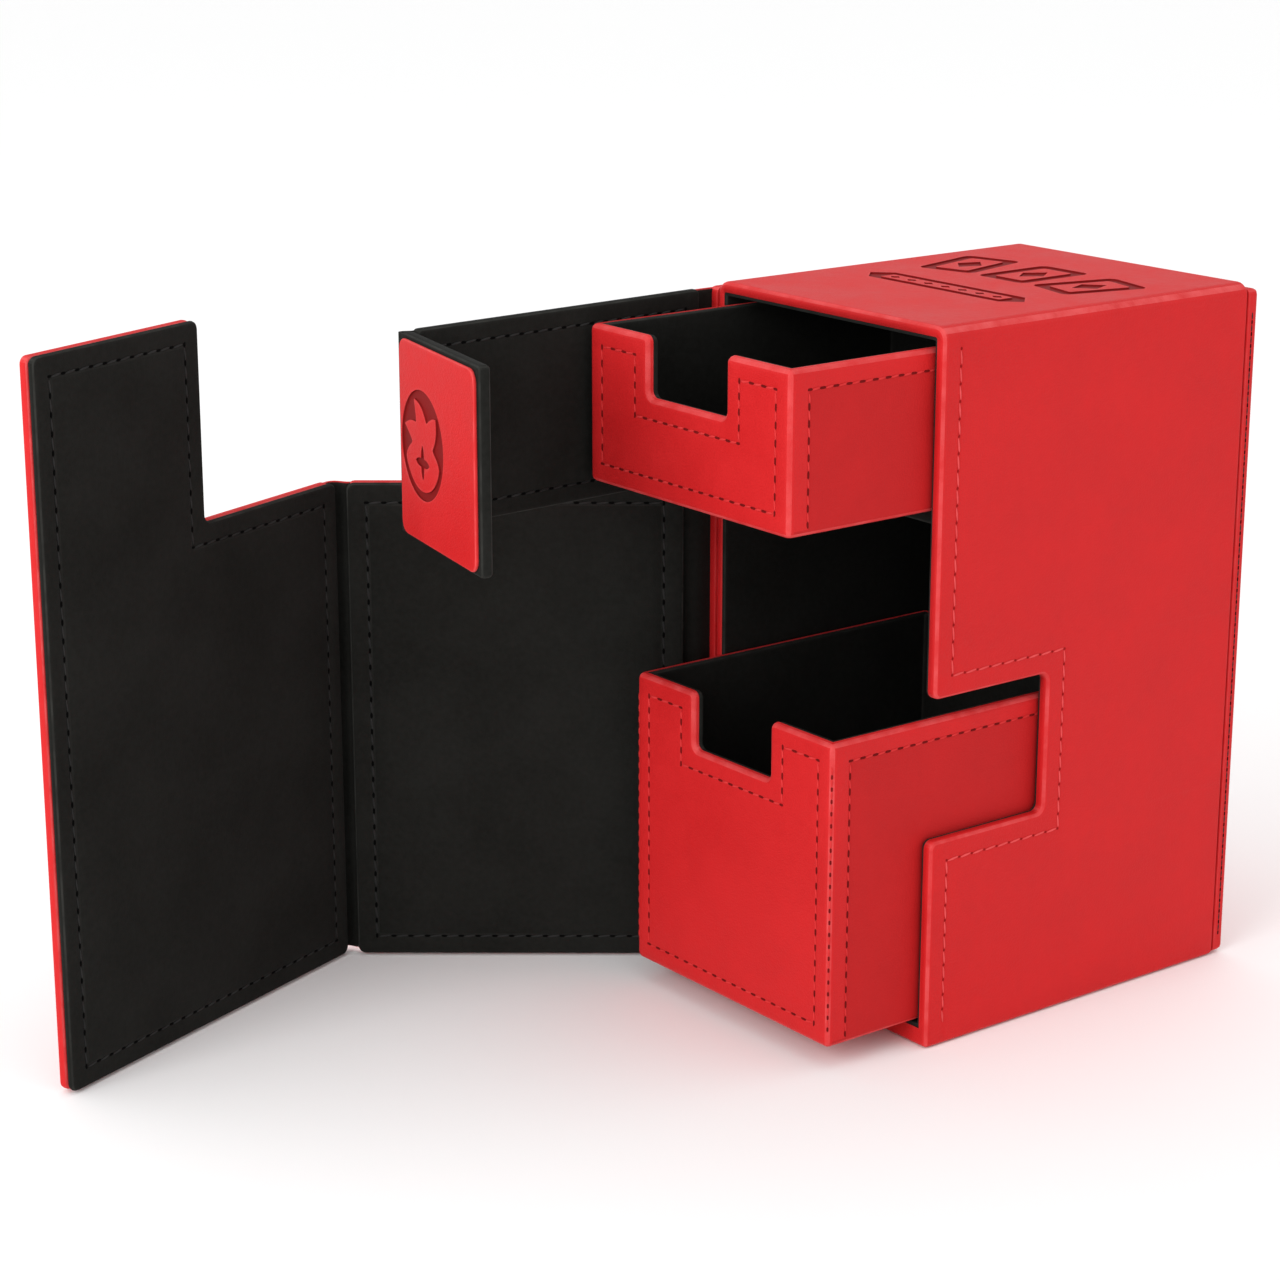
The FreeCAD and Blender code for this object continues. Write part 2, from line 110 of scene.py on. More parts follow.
class Sheet:
    """A node tree that is being laid out."""

    def __init__(self, tree: bpy.types.NodeTree) -> None:
        """Starts on the node tree of a material or a group."""
        self.tree = tree

    def feed(self, socket: Socket, given: object) -> None:
        """Gives an input a link or a fixed value.

        Args:
            socket: the input.
            given: the socket to link from, or the value.
        """
        if isinstance(given, Socket):
            self.tree.links.new(given, socket)
        else:
            socket.default_value = given

    def node(self, kind: str, settings: dict | None = None, **values: object) -> bpy.types.Node:
        """Adds a node.

        Args:
            kind: the node's type name.
            settings: properties of the node itself.
            values: what its inputs get, with spaces in their names written as underscores.

        Returns:
            The new node.
        """
        made = self.tree.nodes.new(kind)
        for name, value in (settings or {}).items():
            setattr(made, name, value)
        for name, value in values.items():
            self.feed(made.inputs[name.replace("_", " ")], value)
        return made

    def math(self, operation: str, first: Socket, second: object) -> Socket:
        """Adds a math node.

        Args:
            operation: the operation's name.
            first: the first term.
            second: the second term, a socket or a number.

        Returns:
            The result's socket.
        """
        made = self.node("ShaderNodeMath", {"operation": operation})
        self.feed(made.inputs[0], first)
        self.feed(made.inputs[1], second)
        return made.outputs[0]

    def weigh(self, first: Socket, much: float, second: Socket, less: float) -> Socket:
        """The weighted sum of two values."""
        return self.math("ADD", self.math("MULTIPLY", first, much), self.math("MULTIPLY", second, less))

    def spread(self, value: Socket, low: float, high: float, to_low: float, to_high: float) -> Socket:
        """Maps a value from the span low to high to another span, held at both ends."""
        return self.node("ShaderNodeMapRange", {"clamp": True}, Value=value, From_Min=low, From_Max=high,
                         To_Min=to_low, To_Max=to_high).outputs["Result"]

    def mix(self, factor: Socket, first: object, second: object) -> Socket:
        """Mixes two colours, each a colour or a socket.

        Args:
            factor: the share of the second one.
            first: the first colour.
            second: the second colour.

        Returns:
            The mixed colour's socket.
        """
        made = self.node("ShaderNodeMix", {"data_type": "RGBA"})
        for place, given in ((0, factor), (6, first), (7, second)):
            self.feed(made.inputs[place], (*given, 1.0) if isinstance(given, tuple) else given)
        return made.outputs[2]

    def noise(self, place: Socket, scale: object, detail: float, rough: float = 0.5) -> Socket:
        """Adds a noise texture of some features per metre, with finer layers."""
        return self.node("ShaderNodeTexNoise", Vector=place, Scale=scale, Detail=detail,
                         Roughness=rough).outputs["Fac"]

    def effect(self, effect: Effect, amount: float) -> bpy.types.Node:
        """Places a shared effect, and builds its group where it is the first to use it.

        Args:
            effect: the effect to place.
            amount: the value of its one number input.

        Returns:
            The group's node.
        """
        tree = bpy.data.node_groups.get(effect.value) or BUILDERS[effect]()
        place = self.node("ShaderNodeTexCoord").outputs["Object"]
        made = self.node("ShaderNodeGroup", {"node_tree": tree}, Vector=place)
        made.inputs[1].default_value = amount
        return made


def group_tree(effect: Effect, number: str,
               gives: Sequence[str]) -> tuple[Sheet, Socket, Socket, list[Socket]]:
    """Starts the node group of an effect.

    Args:
        effect: which effect it is.
        number: name of its one number input.
        gives: names of its outputs.

    Returns:
        The tree's sheet, the coordinates, the number, and the sockets of its results.
    """
    tree = bpy.data.node_groups.new(effect.value, "ShaderNodeTree")
    tree.interface.new_socket("Vector", in_out="INPUT", socket_type="NodeSocketVector")
    tree.interface.new_socket(number, in_out="INPUT", socket_type="NodeSocketFloat")
    for name in gives:
        tree.interface.new_socket(name, in_out="OUTPUT", socket_type="NodeSocketFloat")
    sheet = Sheet(tree)
    given, result = sheet.node("NodeGroupInput"), sheet.node("NodeGroupOutput")
    return sheet, given.outputs["Vector"], given.outputs[number], [result.inputs[name] for name in gives]


def grain_group() -> bpy.types.NodeTree:
    """Lays out the embossed pebble grain of leatherette.

    Returns:
        The node group, with the grain's height and a slow mottling.
    """
    sheet, place, scale, (height, mottle) = group_tree(Effect.GRAIN, "Scale", ("Height", "Mottle"))
    cells = sheet.node("ShaderNodeTexVoronoi", {"feature": "DISTANCE_TO_EDGE"}, Vector=place, Scale=scale)
    pebbles = sheet.spread(cells.outputs["Distance"], 0.0, 0.22, 0.0, 1.0)
    dimples = sheet.noise(place, sheet.math("MULTIPLY", scale, 0.45), 3.0)
    sheet.feed(height, sheet.weigh(pebbles, 0.55, dimples, 1.0))
    clouds, specks = sheet.noise(place, 70.0, 3.0), sheet.noise(place, 420.0, 2.0)
    sheet.feed(mottle, sheet.spread(sheet.weigh(clouds, 0.7, specks, 0.3), 0.32, 0.68, 0.0, 1.0))
    return sheet.tree


def wear_group() -> bpy.types.NodeTree:
    """Lays out the worn edges and the painted highlight of rounded edges that every wrapped board gets.

    Returns:
        The node group, with a mask that is 1 on a worn edge and on a painted highlight.
    """
    sheet, place, amount, (mask,) = group_tree(Effect.WEAR, "Amount", ("Mask",))
    rounded = sheet.node("ShaderNodeBevel", {"samples": 4}, Radius=0.0009)
    true = sheet.node("ShaderNodeNewGeometry")
    dot = sheet.node("ShaderNodeVectorMath", {"operation": "DOT_PRODUCT"})
    sheet.feed(dot.inputs[0], rounded.outputs["Normal"])
    sheet.feed(dot.inputs[1], true.outputs["Normal"])
    creased = sheet.spread(dot.outputs["Value"], 0.995, 0.90, 0.0, 0.6)
    # Worn creases, and rounded edges marked for a painted highlight.
    round_highlights = sheet.node("ShaderNodeAttribute", {"attribute_name": PAINTED_HIGHLIGHT}).outputs["Fac"]
    patches = sheet.spread(sheet.noise(place, 260.0, 3.0), 0.35, 0.65, 0.35, 1.0)
    highlight_and_wear = sheet.math("MULTIPLY", sheet.math("MAXIMUM", creased, round_highlights), patches)
    sheet.feed(mask, sheet.math("MULTIPLY", highlight_and_wear, amount))
    return sheet.tree


def fibre_group() -> bpy.types.NodeTree:
    """Lays out short brushed fibres, as of suede, thread and cardboard.

    Returns:
        The node group, with the fibres' height and their brushed patches.
    """
    sheet, place, scale, (height, patches) = group_tree(Effect.FIBRE, "Scale", ("Height", "Patches"))
    tufts = sheet.node("ShaderNodeTexVoronoi", {"feature": "F1"}, Randomness=0.6, Vector=place,
                       Scale=sheet.math("MULTIPLY", scale, 0.6)).outputs["Distance"]
    sheet.feed(height, sheet.weigh(sheet.noise(place, scale, 4.0, 0.7), 1.0, tufts, 0.5))
    clouds, specks = sheet.noise(place, 55.0, 4.0), sheet.noise(place, 900.0, 2.0)
    sheet.feed(patches, sheet.spread(sheet.weigh(clouds, 0.6, specks, 0.4), 0.34, 0.66, 0.0, 1.0))
    return sheet.tree


BUILDERS: dict[Effect, Callable[[], bpy.types.NodeTree]] = {
    Effect.GRAIN: grain_group,
    Effect.WEAR: wear_group,
    Effect.FIBRE: fibre_group,
}


@dataclass(frozen=True)
class Finish:
    """A finish of one slot: a texture effect, its colours, its gloss and its relief; its worn colour lightens
    worn edges and is the painted highlight of rounded edges.
    """

    name: str
    slot: Slot
    effect: Effect
    scale: float
    dark: Colour
    light: Colour
    # the lighter colour of worn edges, also the painted highlight of rounded edges
    worn: Colour
    rough: tuple[float, float]
    relief: float
    # the strength of the edge wear and the painted highlight
    wear: float = 0.5
    gloss: float = 0.3
    sheen: float = 0.0
    metal: float = 0.0

    def material(self) -> bpy.types.Material:
        """Builds the finish's material once, and hands out the same one afterwards.

        Returns:
            The material.
        """
        made = bpy.data.materials.get(self.name)
        if made:
            return made
        made = bpy.data.materials.new(self.name)
        made.use_nodes = True
        made.diffuse_color = (*self.light, 1.0)
        made.node_tree.nodes.clear()
        sheet = Sheet(made.node_tree)
        texture = sheet.effect(self.effect, self.scale).outputs
        # A lighter colour is mixed in on worn edges and as a painted highlight on rounded edges.
        worn = sheet.effect(Effect.WEAR, self.wear).outputs["Mask"]
        tone = sheet.mix(texture[1], self.dark, self.light)
        bump = sheet.node("ShaderNodeBump", Strength=0.6, Distance=self.relief * MM, Height=texture[0])
        shader = sheet.node("ShaderNodeBsdfPrincipled", Metallic=self.metal, Specular_IOR_Level=self.gloss,
                            Sheen_Weight=self.sheen, Sheen_Roughness=0.45,
                            Base_Color=sheet.mix(worn, tone, self.worn),
                            Roughness=sheet.spread(texture[1], 0.0, 1.0, *self.rough),
                            Normal=bump.outputs["Normal"])
        sheet.node("ShaderNodeOutputMaterial", Surface=shader.outputs["BSDF"])
        return made


# Each worn colour below is edge wear and the painted highlight of rounded edges.
LEATHER = Finish("red_leatherette_grain", Slot.LEATHER, Effect.GRAIN, 1500.0, (0.545, 0.0125, 0.0140),
                 (0.600, 0.0155, 0.0170), (0.84, 0.16, 0.16), (0.50, 0.62), 0.085, wear=0.42, gloss=0.14)
# The tray sides' pressed field, darker partly as painted shade on the sides.
PRESSED_PAINTED_SHADE = replace(LEATHER, name="red_leatherette_pressed_painted_shade", dark=(0.455, 0.0120, 0.0130), relief=0.06,
                  light=(0.500, 0.0145, 0.0155), worn=(0.62, 0.06, 0.06), wear=0.4, gloss=0.10)
BURNISHED = replace(LEATHER, name="burnished_dark_red", dark=(0.185, 0.0070, 0.0072), relief=0.03,
                    light=(0.230, 0.0100, 0.0100), worn=(0.30, 0.014, 0.014), rough=(0.60, 0.72), wear=0.3,
                    gloss=0.08)
SUEDE = Finish("black_suede_cloth", Slot.SUEDE, Effect.FIBRE, 2600.0, (0.0092, 0.0092, 0.0080),
               (0.0155, 0.0155, 0.0140), (0.046, 0.046, 0.042), (0.86, 0.97), 0.10, wear=0.6, gloss=0.06,
               sheen=0.02)
DYED_EDGE = replace(SUEDE, name="black_dyed_edge", slot=Slot.LEATHER, dark=(0.0102, 0.0102, 0.0090),
                    light=(0.0172, 0.0172, 0.0156), worn=(0.030, 0.030, 0.028), rough=(0.80, 0.95),
                    relief=0.05, wear=0.3, sheen=0.0)
RED_THREAD = Finish("red_thread", Slot.LEATHER, Effect.FIBRE, 5200.0, (0.62, 0.050, 0.052),
                    (0.76, 0.095, 0.097), (0.80, 0.12, 0.12), (0.6, 0.8), 0.06, wear=0.1, gloss=0.1)
DEEP_THREAD = replace(RED_THREAD, name="deep_red_thread", dark=(0.56, 0.020, 0.021),
                      light=(0.68, 0.045, 0.046), worn=(0.70, 0.06, 0.06))
BLACK_THREAD = replace(RED_THREAD, name="black_thread", slot=Slot.SUEDE, dark=(0.010, 0.010, 0.010),
                       light=(0.026, 0.026, 0.025), worn=(0.05, 0.05, 0.05), wear=0.2, gloss=0.15)
# The needle holes are dark as painted shade inside the holes.
RED_HOLE_SHADE = Finish("red_needle_hole_shade", Slot.LEATHER, Effect.GRAIN, 3000.0, (0.120, 0.0050, 0.0050),
                  (0.180, 0.0080, 0.0080), (0.20, 0.009, 0.009), (0.8, 0.9), 0.02, wear=0.1, gloss=0.05)
SOFT_HOLE_SHADE = replace(RED_HOLE_SHADE, name="soft_needle_hole_shade", dark=(0.26, 0.0080, 0.0085),
                    light=(0.32, 0.0100, 0.0110), worn=(0.34, 0.012, 0.012))
BLACK_HOLE_SHADE = replace(RED_HOLE_SHADE, name="black_needle_hole_shade", slot=Slot.SUEDE, effect=Effect.FIBRE,
                     dark=(0.0012, 0.0012, 0.0012), light=(0.0028, 0.0028, 0.0028),
                     worn=(0.004, 0.004, 0.004), rough=(0.85, 0.95), gloss=0.03)
GREYBOARD = Finish("pressed_greyboard", Slot.BOARD, Effect.FIBRE, 1400.0, (0.20, 0.18, 0.155),
                   (0.30, 0.275, 0.24), (0.36, 0.34, 0.30), (0.8, 0.95), 0.10, gloss=0.1)
NICKEL = Finish("nickel_plate", Slot.MAGNET, Effect.FIBRE, 900.0, (0.52, 0.51, 0.49), (0.66, 0.65, 0.63),
                (0.75, 0.74, 0.72), (0.22, 0.36), 0.02, gloss=0.5, metal=1.0)


# ---------------------------------------------------------------- places and meshes


@dataclass(frozen=True)
class Place:
    """Where a drawing's origin and axes lie in the row frame; the origin is in millimetres."""

    origin: Vector
    x_axis: Vector
    y_axis: Vector
    z_axis: Vector

    def matrix(self) -> Matrix:
        """The drawing's placement, from millimetres to metres.

        Returns:
            The matrix.
        """
        turned = Matrix((self.x_axis, self.y_axis, self.z_axis)).transposed().to_4x4()
        turned.translation = self.origin
        return Matrix.Scale(MM, 4) @ turned

    def points(self, node: str) -> Path:
        """The corners of a CAD node in this drawing.

        Args:
            node: the node's name.

        Returns:
            Its points.
        """
        back = self.matrix().inverted()
        return [back @ v.co for v in frame["nodes"][node].data.vertices]

    def extent(self, node: str) -> tuple[Vector, Vector]:
        """The lowest and highest corners of a CAD node along the drawing's axes."""
        axes = list(zip(*self.points(node)))
        return Vector([min(axis) for axis in axes]), Vector([max(axis) for axis in axes])


ROW_PLACE = Place(Vector(), RIGHT, BACK, UP)
FLAT_PLACE = Place(Vector(), RIGHT, UP, -BACK)


def panel_place(hinge: Vector, opening: float) -> Place:
    """Places a cover panel's drawing: x runs along it, y inward through its thickness, z up.

    Args:
        hinge: a point of its hinge line, in millimetres.
        opening: degrees that it stands open, 0 being across the mouth.

    Returns:
        The place.
    """
    angle = math.radians(opening)
    along = Vector((math.cos(angle), -math.sin(angle), 0.0))
    return Place(Vector((hinge.x, hinge.y, 0.0)), along, UP.cross(along), UP)


def only(kind: type, geom: Iterable) -> list:
    """The items of one kind among an operator's results."""
    return [item for item in geom if isinstance(item, kind)]


def sharp_edges(bm: BMesh) -> list[BMEdge]:
    """The edges where two faces meet at more than a facet's angle."""
    return [e for e in bm.edges if e.calc_face_angle(0.0) > SHARP]


def round_edges(bm: BMesh, edges: Sequence[BMEdge], radius: float, segments: int) -> None:
    """Rounds edges with a plain round profile, and brings the normals up to date.

    Args:
        bm: the mesh.
        edges: the edges to round.
        radius: their radius.
        segments: facets of each round.
    """
    bmesh.ops.bevel(bm, geom=list(edges), offset=radius, offset_type="OFFSET", segments=segments,
                    profile=0.5, affect="EDGES", material=-1, clamp_overlap=False)
    bm.normal_update()


def round_corners(bm: BMesh, corners: Sequence[BMVert], radius: float, segments: int) -> None:
    """Rounds the right-angled corners of a flat outline."""
    bmesh.ops.bevel(bm, geom=list(corners), offset=radius, offset_type="OFFSET", segments=segments,
                    profile=0.5, affect="VERTICES", material=-1, clamp_overlap=True)


def thicken(bm: BMesh, shift: Vector) -> None:
    """Makes a closed slab of a flat sheet.

    Args:
        bm: the sheet.
        shift: from the sheet to the slab's other face.
    """
    grown = bmesh.ops.extrude_face_region(bm, geom=bm.faces[:])["geom"]
    bmesh.ops.translate(bm, verts=only(BMVert, grown), vec=shift)
    bmesh.ops.recalc_face_normals(bm, faces=bm.faces[:])


def plate(outline: Sequence[Point], near: float, far: float, corner: float, rim: float,
          rim_segments: int = 3) -> BMesh:
    """Draws a flat piece in the x-z plane: an outline given a thickness along y, with soft rims.

    Args:
        outline: the corners, as (x, z).
        near: y of its outer face.
        far: y of its inner face.
        corner: radius of its corners.
        rim: radius of its rims.
        rim_segments: facets of a rim.

    Returns:
        The closed mesh.
    """
    bm = bmesh.new()
    bm.faces.new([bm.verts.new((x, near, z)) for x, z in outline])
    round_corners(bm, bm.verts[:], corner, 5)
    thicken(bm, BACK * (far - near))
    round_edges(bm, sharp_edges(bm), rim, rim_segments)
    return bm


def corners_of(low: Vector, high: Vector, margin: float = 0.0) -> list[Point]:
    """The four corners of a flat piece in its x-z plane, moved in by a margin."""
    left, right, bottom, top = low.x + margin, high.x - margin, low.z + margin, high.z - margin
    return [(left, bottom), (right, bottom), (right, top), (left, top)]


def upright_border(start: Vector, end: Vector) -> Path:
    """The closed seam round an upright rectangle, from two opposite corners."""
    return [start, Vector((end.x, end.y, start.z)), end, Vector((start.x, start.y, end.z)), start]


def flat_faces(bm: BMesh, point: Vector, facing: Vector) -> list[BMFace]:
    """The faces that lie in the plane through a point and look the given way."""
    return [f for f in bm.faces if f.normal.dot(facing) > ALIGNED
            and abs((f.calc_center_median() - point).dot(facing)) < ON_PLANE]


def largest(faces: Iterable[BMFace]) -> BMFace:
    """The face with the largest area."""
    return max(faces, key=lambda face: face.calc_area())


def cut_faces(bm: BMesh, faces: Sequence[BMFace], point: Vector, normal: Vector) -> None:
    """Cuts faces along a plane, leaving the rest of the mesh whole.

    Args:
        bm: the mesh.
        faces: the faces to cut.
        point: a point of the plane.
        normal: the plane's normal.
    """
    for items in (bm.verts, bm.edges, bm.faces):
        items.index_update()
    geom = {item for f in faces for item in (f, *f.edges, *f.verts)}
    ordered = sorted(geom, key=lambda item: (type(item).__name__, item.index))
    bmesh.ops.bisect_plane(bm, geom=ordered, dist=CUT_SNAP, plane_co=point, plane_no=normal)


def held(share: float) -> float:
    """Holds a share between 0 and 1."""
    return min(1.0, max(0.0, share))


def eased(share: float) -> float:
    """Eases a share in and out between 0 and 1."""
    return held(share) ** 2 * (3.0 - 2.0 * held(share))


def off_run(point: Vector, start: Vector, end: Vector) -> float:
    """How far a point lies from a straight run.

    Args:
        point: the point.
        start: where the run starts.
        end: where it ends.

    Returns:
        The distance.
    """
    run = end - start
    return (point - start - run * held((point - start).dot(run) / run.length_squared)).length


def ring(bm: BMesh, points: Sequence[Vector]) -> list[BMEdge]:
    """Draws a closed loop of edges through a few points."""
    verts = [bm.verts.new(p) for p in points]
    return [bm.edges.new((a, b)) for a, b in zip(verts, verts[1:] + verts[:1])]


def raise_wall(bm: BMesh, edges: Sequence[BMEdge], shift: Vector) -> tuple[list[BMEdge], list[BMFace]]:
    """Raises a wall from a loop of edges.

    Args:
        bm: the mesh.
        edges: the loop.
        shift: from the loop to the wall's free edge.

    Returns:
        The wall's free edges and its faces.
    """
    grown = bmesh.ops.extrude_edge_only(bm, edges=edges)["geom"]
    bmesh.ops.translate(bm, verts=only(BMVert, grown), vec=shift)
    return [e for e in only(BMEdge, grown) if e.is_boundary], only(BMFace, grown)


@dataclass(frozen=True)
class Pocket:
    """A debossed figure: its outline, and the islands left standing in it."""

    rim: Sequence[Vector]
    islands: Sequence[Sequence[Vector]] = ()


def deboss(bm: BMesh, face: BMFace, pockets: Sequence[Pocket], depth: float) -> list[BMFace]:
    """Sinks figures into a flat face; what is sunk takes the second finish.

    Args:
        bm: the mesh.
        face: the flat face that holds them.
        pockets: the figures, in the face's plane.
        depth: how deep they go.

    Returns:
        The tops of the islands.
    """
    facing = face.normal.copy()
    down = -facing * depth
    around = list(face.edges)
    bmesh.ops.delete(bm, geom=[face], context="FACES_ONLY")
    rings = [ring(bm, pocket.rim) for pocket in pockets]
    bmesh.ops.triangle_fill(bm, use_beauty=True, edges=around + sum(rings, []), normal=facing)
    tops, sunk = [], []
    for pocket, edges in zip(pockets, rings):
        foot, walls = raise_wall(bm, edges, down)
        bases = [ring(bm, [p + down for p in island]) for island in pocket.islands]
        floor = bmesh.ops.triangle_fill(bm, use_beauty=True, edges=foot + sum(bases, []), normal=facing)
        sunk += walls + only(BMFace, floor["geom"])
        for base in bases:
            crown, walls = raise_wall(bm, base, -down)
            sunk += walls
            tops += bmesh.ops.contextual_create(bm, geom=crown)["faces"]
    for f in sunk:
        f.material_index = 1
    for f in tops:
        f.material_index = 0
        f.normal_update()
        if f.normal.dot(facing) < 0.0:
            f.normal_flip()
    return tops


def mark_rounds(bm: BMesh) -> None:
    """Marks the facets of rounded edges for a painted highlight; in a drawing only these stand askew.

    Args:
        bm: the drawing.
    """
    bm.normal_update()
    layer = bm.loops.layers.float_color.new(PAINTED_HIGHLIGHT)
    for f in bm.faces:
        share = held((HIGHLIGHT_STARTS - max(abs(c) for c in f.normal)) / HIGHLIGHT_SPAN)
        for corner in f.loops:
            corner[layer] = (share, share, share, 1.0)


def finish_piece(bm: BMesh, name: str, place: Place, finishes: Sequence[Finish],
                 backing: float = 0.0) -> bpy.types.Object:
    """Turns a drawing into an object that stands at the origin with its place in its mesh.

    Args:
        bm: the drawing, in millimetres; it is freed.
        name: the piece's name.
        place: where the drawing lies.
        finishes: its finishes, in the order of the faces' material numbers.
        backing: thickness of the sheet behind a single skin, or 0 for a closed mesh.

    Returns:
        The object.
    """
    mesh = bpy.data.meshes.new(name)
    bm.to_mesh(mesh)
    bm.free()
    mesh.transform(place.matrix())
    for finish in finishes:
        mesh.materials.append(finish.material())
    mesh.shade_smooth()
    mesh.set_sharp_from_angle(angle=SHARP)
    obj = bpy.data.objects.new(name, mesh)
    bpy.context.scene.collection.objects.link(obj)
    if backing:
        solid = obj.modifiers.new("backing", "SOLIDIFY")
        solid.thickness = backing * MM
        solid.offset = -1.0
        solid.use_even_offset = True
    obj.modifiers.new("even_shading", "WEIGHTED_NORMAL").keep_sharp = True
    LOG.info("%-28s %6d faces", name, len(mesh.polygons))
    return obj


def dress(bm: BMesh, name: str, node: str, body: str, place: Place, finishes: Sequence[Finish],
          backing: float = 0.0) -> bpy.types.Object:
    """Finishes a piece, with a painted highlight on its rounded edges, that rides on its body in place of a
    CAD node.

    Args:
        bm: the drawing.
        name: the piece's name.
        node: the CAD node that it replaces.
        body: the body it rides on.
        place: where the drawing lies.
        finishes: its finishes.
        backing: thickness of the sheet behind a single skin.

    Returns:
        The object.
    """
    mark_rounds(bm)
    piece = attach(finish_piece(bm, name, place, finishes, backing), body)
    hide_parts(node)
    return piece


# ---------------------------------------------------------------- stitching


@dataclass(frozen=True)
class Stitching:
    """A row of lockstitches in a pressed channel: thread humps with a needle hole between them, a flush dark
    bead that paints the shade in the hole.
    """

    finishes: tuple[Finish, Finish] = (RED_THREAD, SOFT_HOLE_SHADE)
    pitch: float = 3.2
    thread: float = 0.46
    hump: float = 0.17
    gap: float = 0.6
    slant: float = 7.0
    sunk: float = 0.10
    channel: float = 1.2
    channel_depth: float = 0.2
    hole_width: float = 0.62
    hole_rise: float = 0.1

    def press(self, bm: BMesh, path: Path, facing: Vector) -> None:
        """Presses the shallow channel of the seam into a flat face.

        Args:
            bm: the mesh.
            path: the seam's corners, joined by straight runs.
            facing: normal of the face.
        """
        runs = list(zip(path, path[1:]))
        for start, end in runs:
            side = (end - start).normalized().cross(facing)
            for shift in (-self.channel / 2, 0.0, self.channel / 2):
                cut_faces(bm, flat_faces(bm, start, facing), start + side * shift, side)
        if path[0] != path[-1]:
            for point, beyond in ((path[0], path[1]), (path[-1], path[-2])):
                cut_faces(bm, flat_faces(bm, point, facing), point, (beyond - point).normalized())
        for v in bm.verts:
            if any(off_run(v.co, start, end) < ON_PLANE for start, end in runs):
                v.co -= facing * self.channel_depth
        bm.normal_update()

    def piece(self, name: str, rows: Sequence[Row], place: Place, body: str) -> bpy.types.Object:
        """Sews rows as one piece that rides on its body.

        Args:
            name: the piece's name.
            rows: each seam's path of straight runs, and the way its face looks.
            place: the drawing's place.
            body: the body it rides on.

        Returns:
            The object.
        """
        bm = bmesh.new()
        for path, facing in rows:
            for start, end in zip(path, path[1:]):
                self.sew(bm, start - facing * self.sunk, end - start, facing)
        bmesh.ops.recalc_face_normals(bm, faces=bm.faces[:])
        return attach(finish_piece(bm, name, place, self.finishes), body)

    def sew(self, bm: BMesh, start: Vector, run: Vector, facing: Vector) -> None:
        """Sews one straight run.

        Args:
            bm: the mesh that gathers the stitches; thread is finish 0 and the holes' painted shade finish 1.
            start: the middle of the first hole.
            run: from there to the run's end.
            facing: the way the face looks.
        """
        count = max(1, round(run.length / self.pitch))
        step = run / count
        turned = Matrix.Rotation(math.radians(self.slant), 3, facing) @ run.normalized()
        reach = (step.length - self.gap * 0.7) / 2
        for k in range(count):
            hole = start + step * k
            # The hole is a flush dark bead, painted shade of the hole.
            self.bead(bm, hole, run.normalized(), facing,
                      (self.gap / 2, self.thread * self.hole_width, self.hole_rise), 1)
            self.bead(bm, hole + step / 2, turned, facing, (reach, self.thread / 2, self.hump), 0)

    @staticmethod
    def bead(bm: BMesh, centre: Vector, along: Vector, facing: Vector, half: tuple[float, float, float],
             finish: int) -> None:
        """Adds one small rounded bead.

        Args:
            bm: the mesh.
            centre: its middle.
            along: its long direction.
            facing: the way it stands proud.
            half: half its length, its width and its rise.
            finish: the material number of its faces.
        """
        length, width, rise = half
        side = facing.cross(along).normalized()
        columns = Matrix((side * width, facing * rise, along * length)).transposed().to_4x4()
        columns.translation = centre
        rings = 3 if finish else 4
        made = bmesh.ops.create_uvsphere(bm, u_segments=6, v_segments=rings, radius=1.0, matrix=columns)
        for f in {f for v in made["verts"] for f in v.link_faces}:
            f.material_index = finish


SEAM = Stitching()
TRAY_SEAM = Stitching((DEEP_THREAD, RED_HOLE_SHADE), pitch=3.1, thread=0.48, gap=1.7, channel=1.1)
CORNER_SEAM = Stitching((DEEP_THREAD, RED_HOLE_SHADE), 2.4, 0.4, 0.12, gap=1.1, slant=0.0, sunk=-0.02)
EDGE_SEAM = replace(CORNER_SEAM, finishes=(BLACK_THREAD, BLACK_HOLE_SHADE), sunk=0.02)
LINING_SEAM = Stitching((BLACK_THREAD, BLACK_HOLE_SHADE), 3.5, 0.5, gap=1.3, channel_depth=0.25)


# ---------------------------------------------------------------- boxes with a notched wall


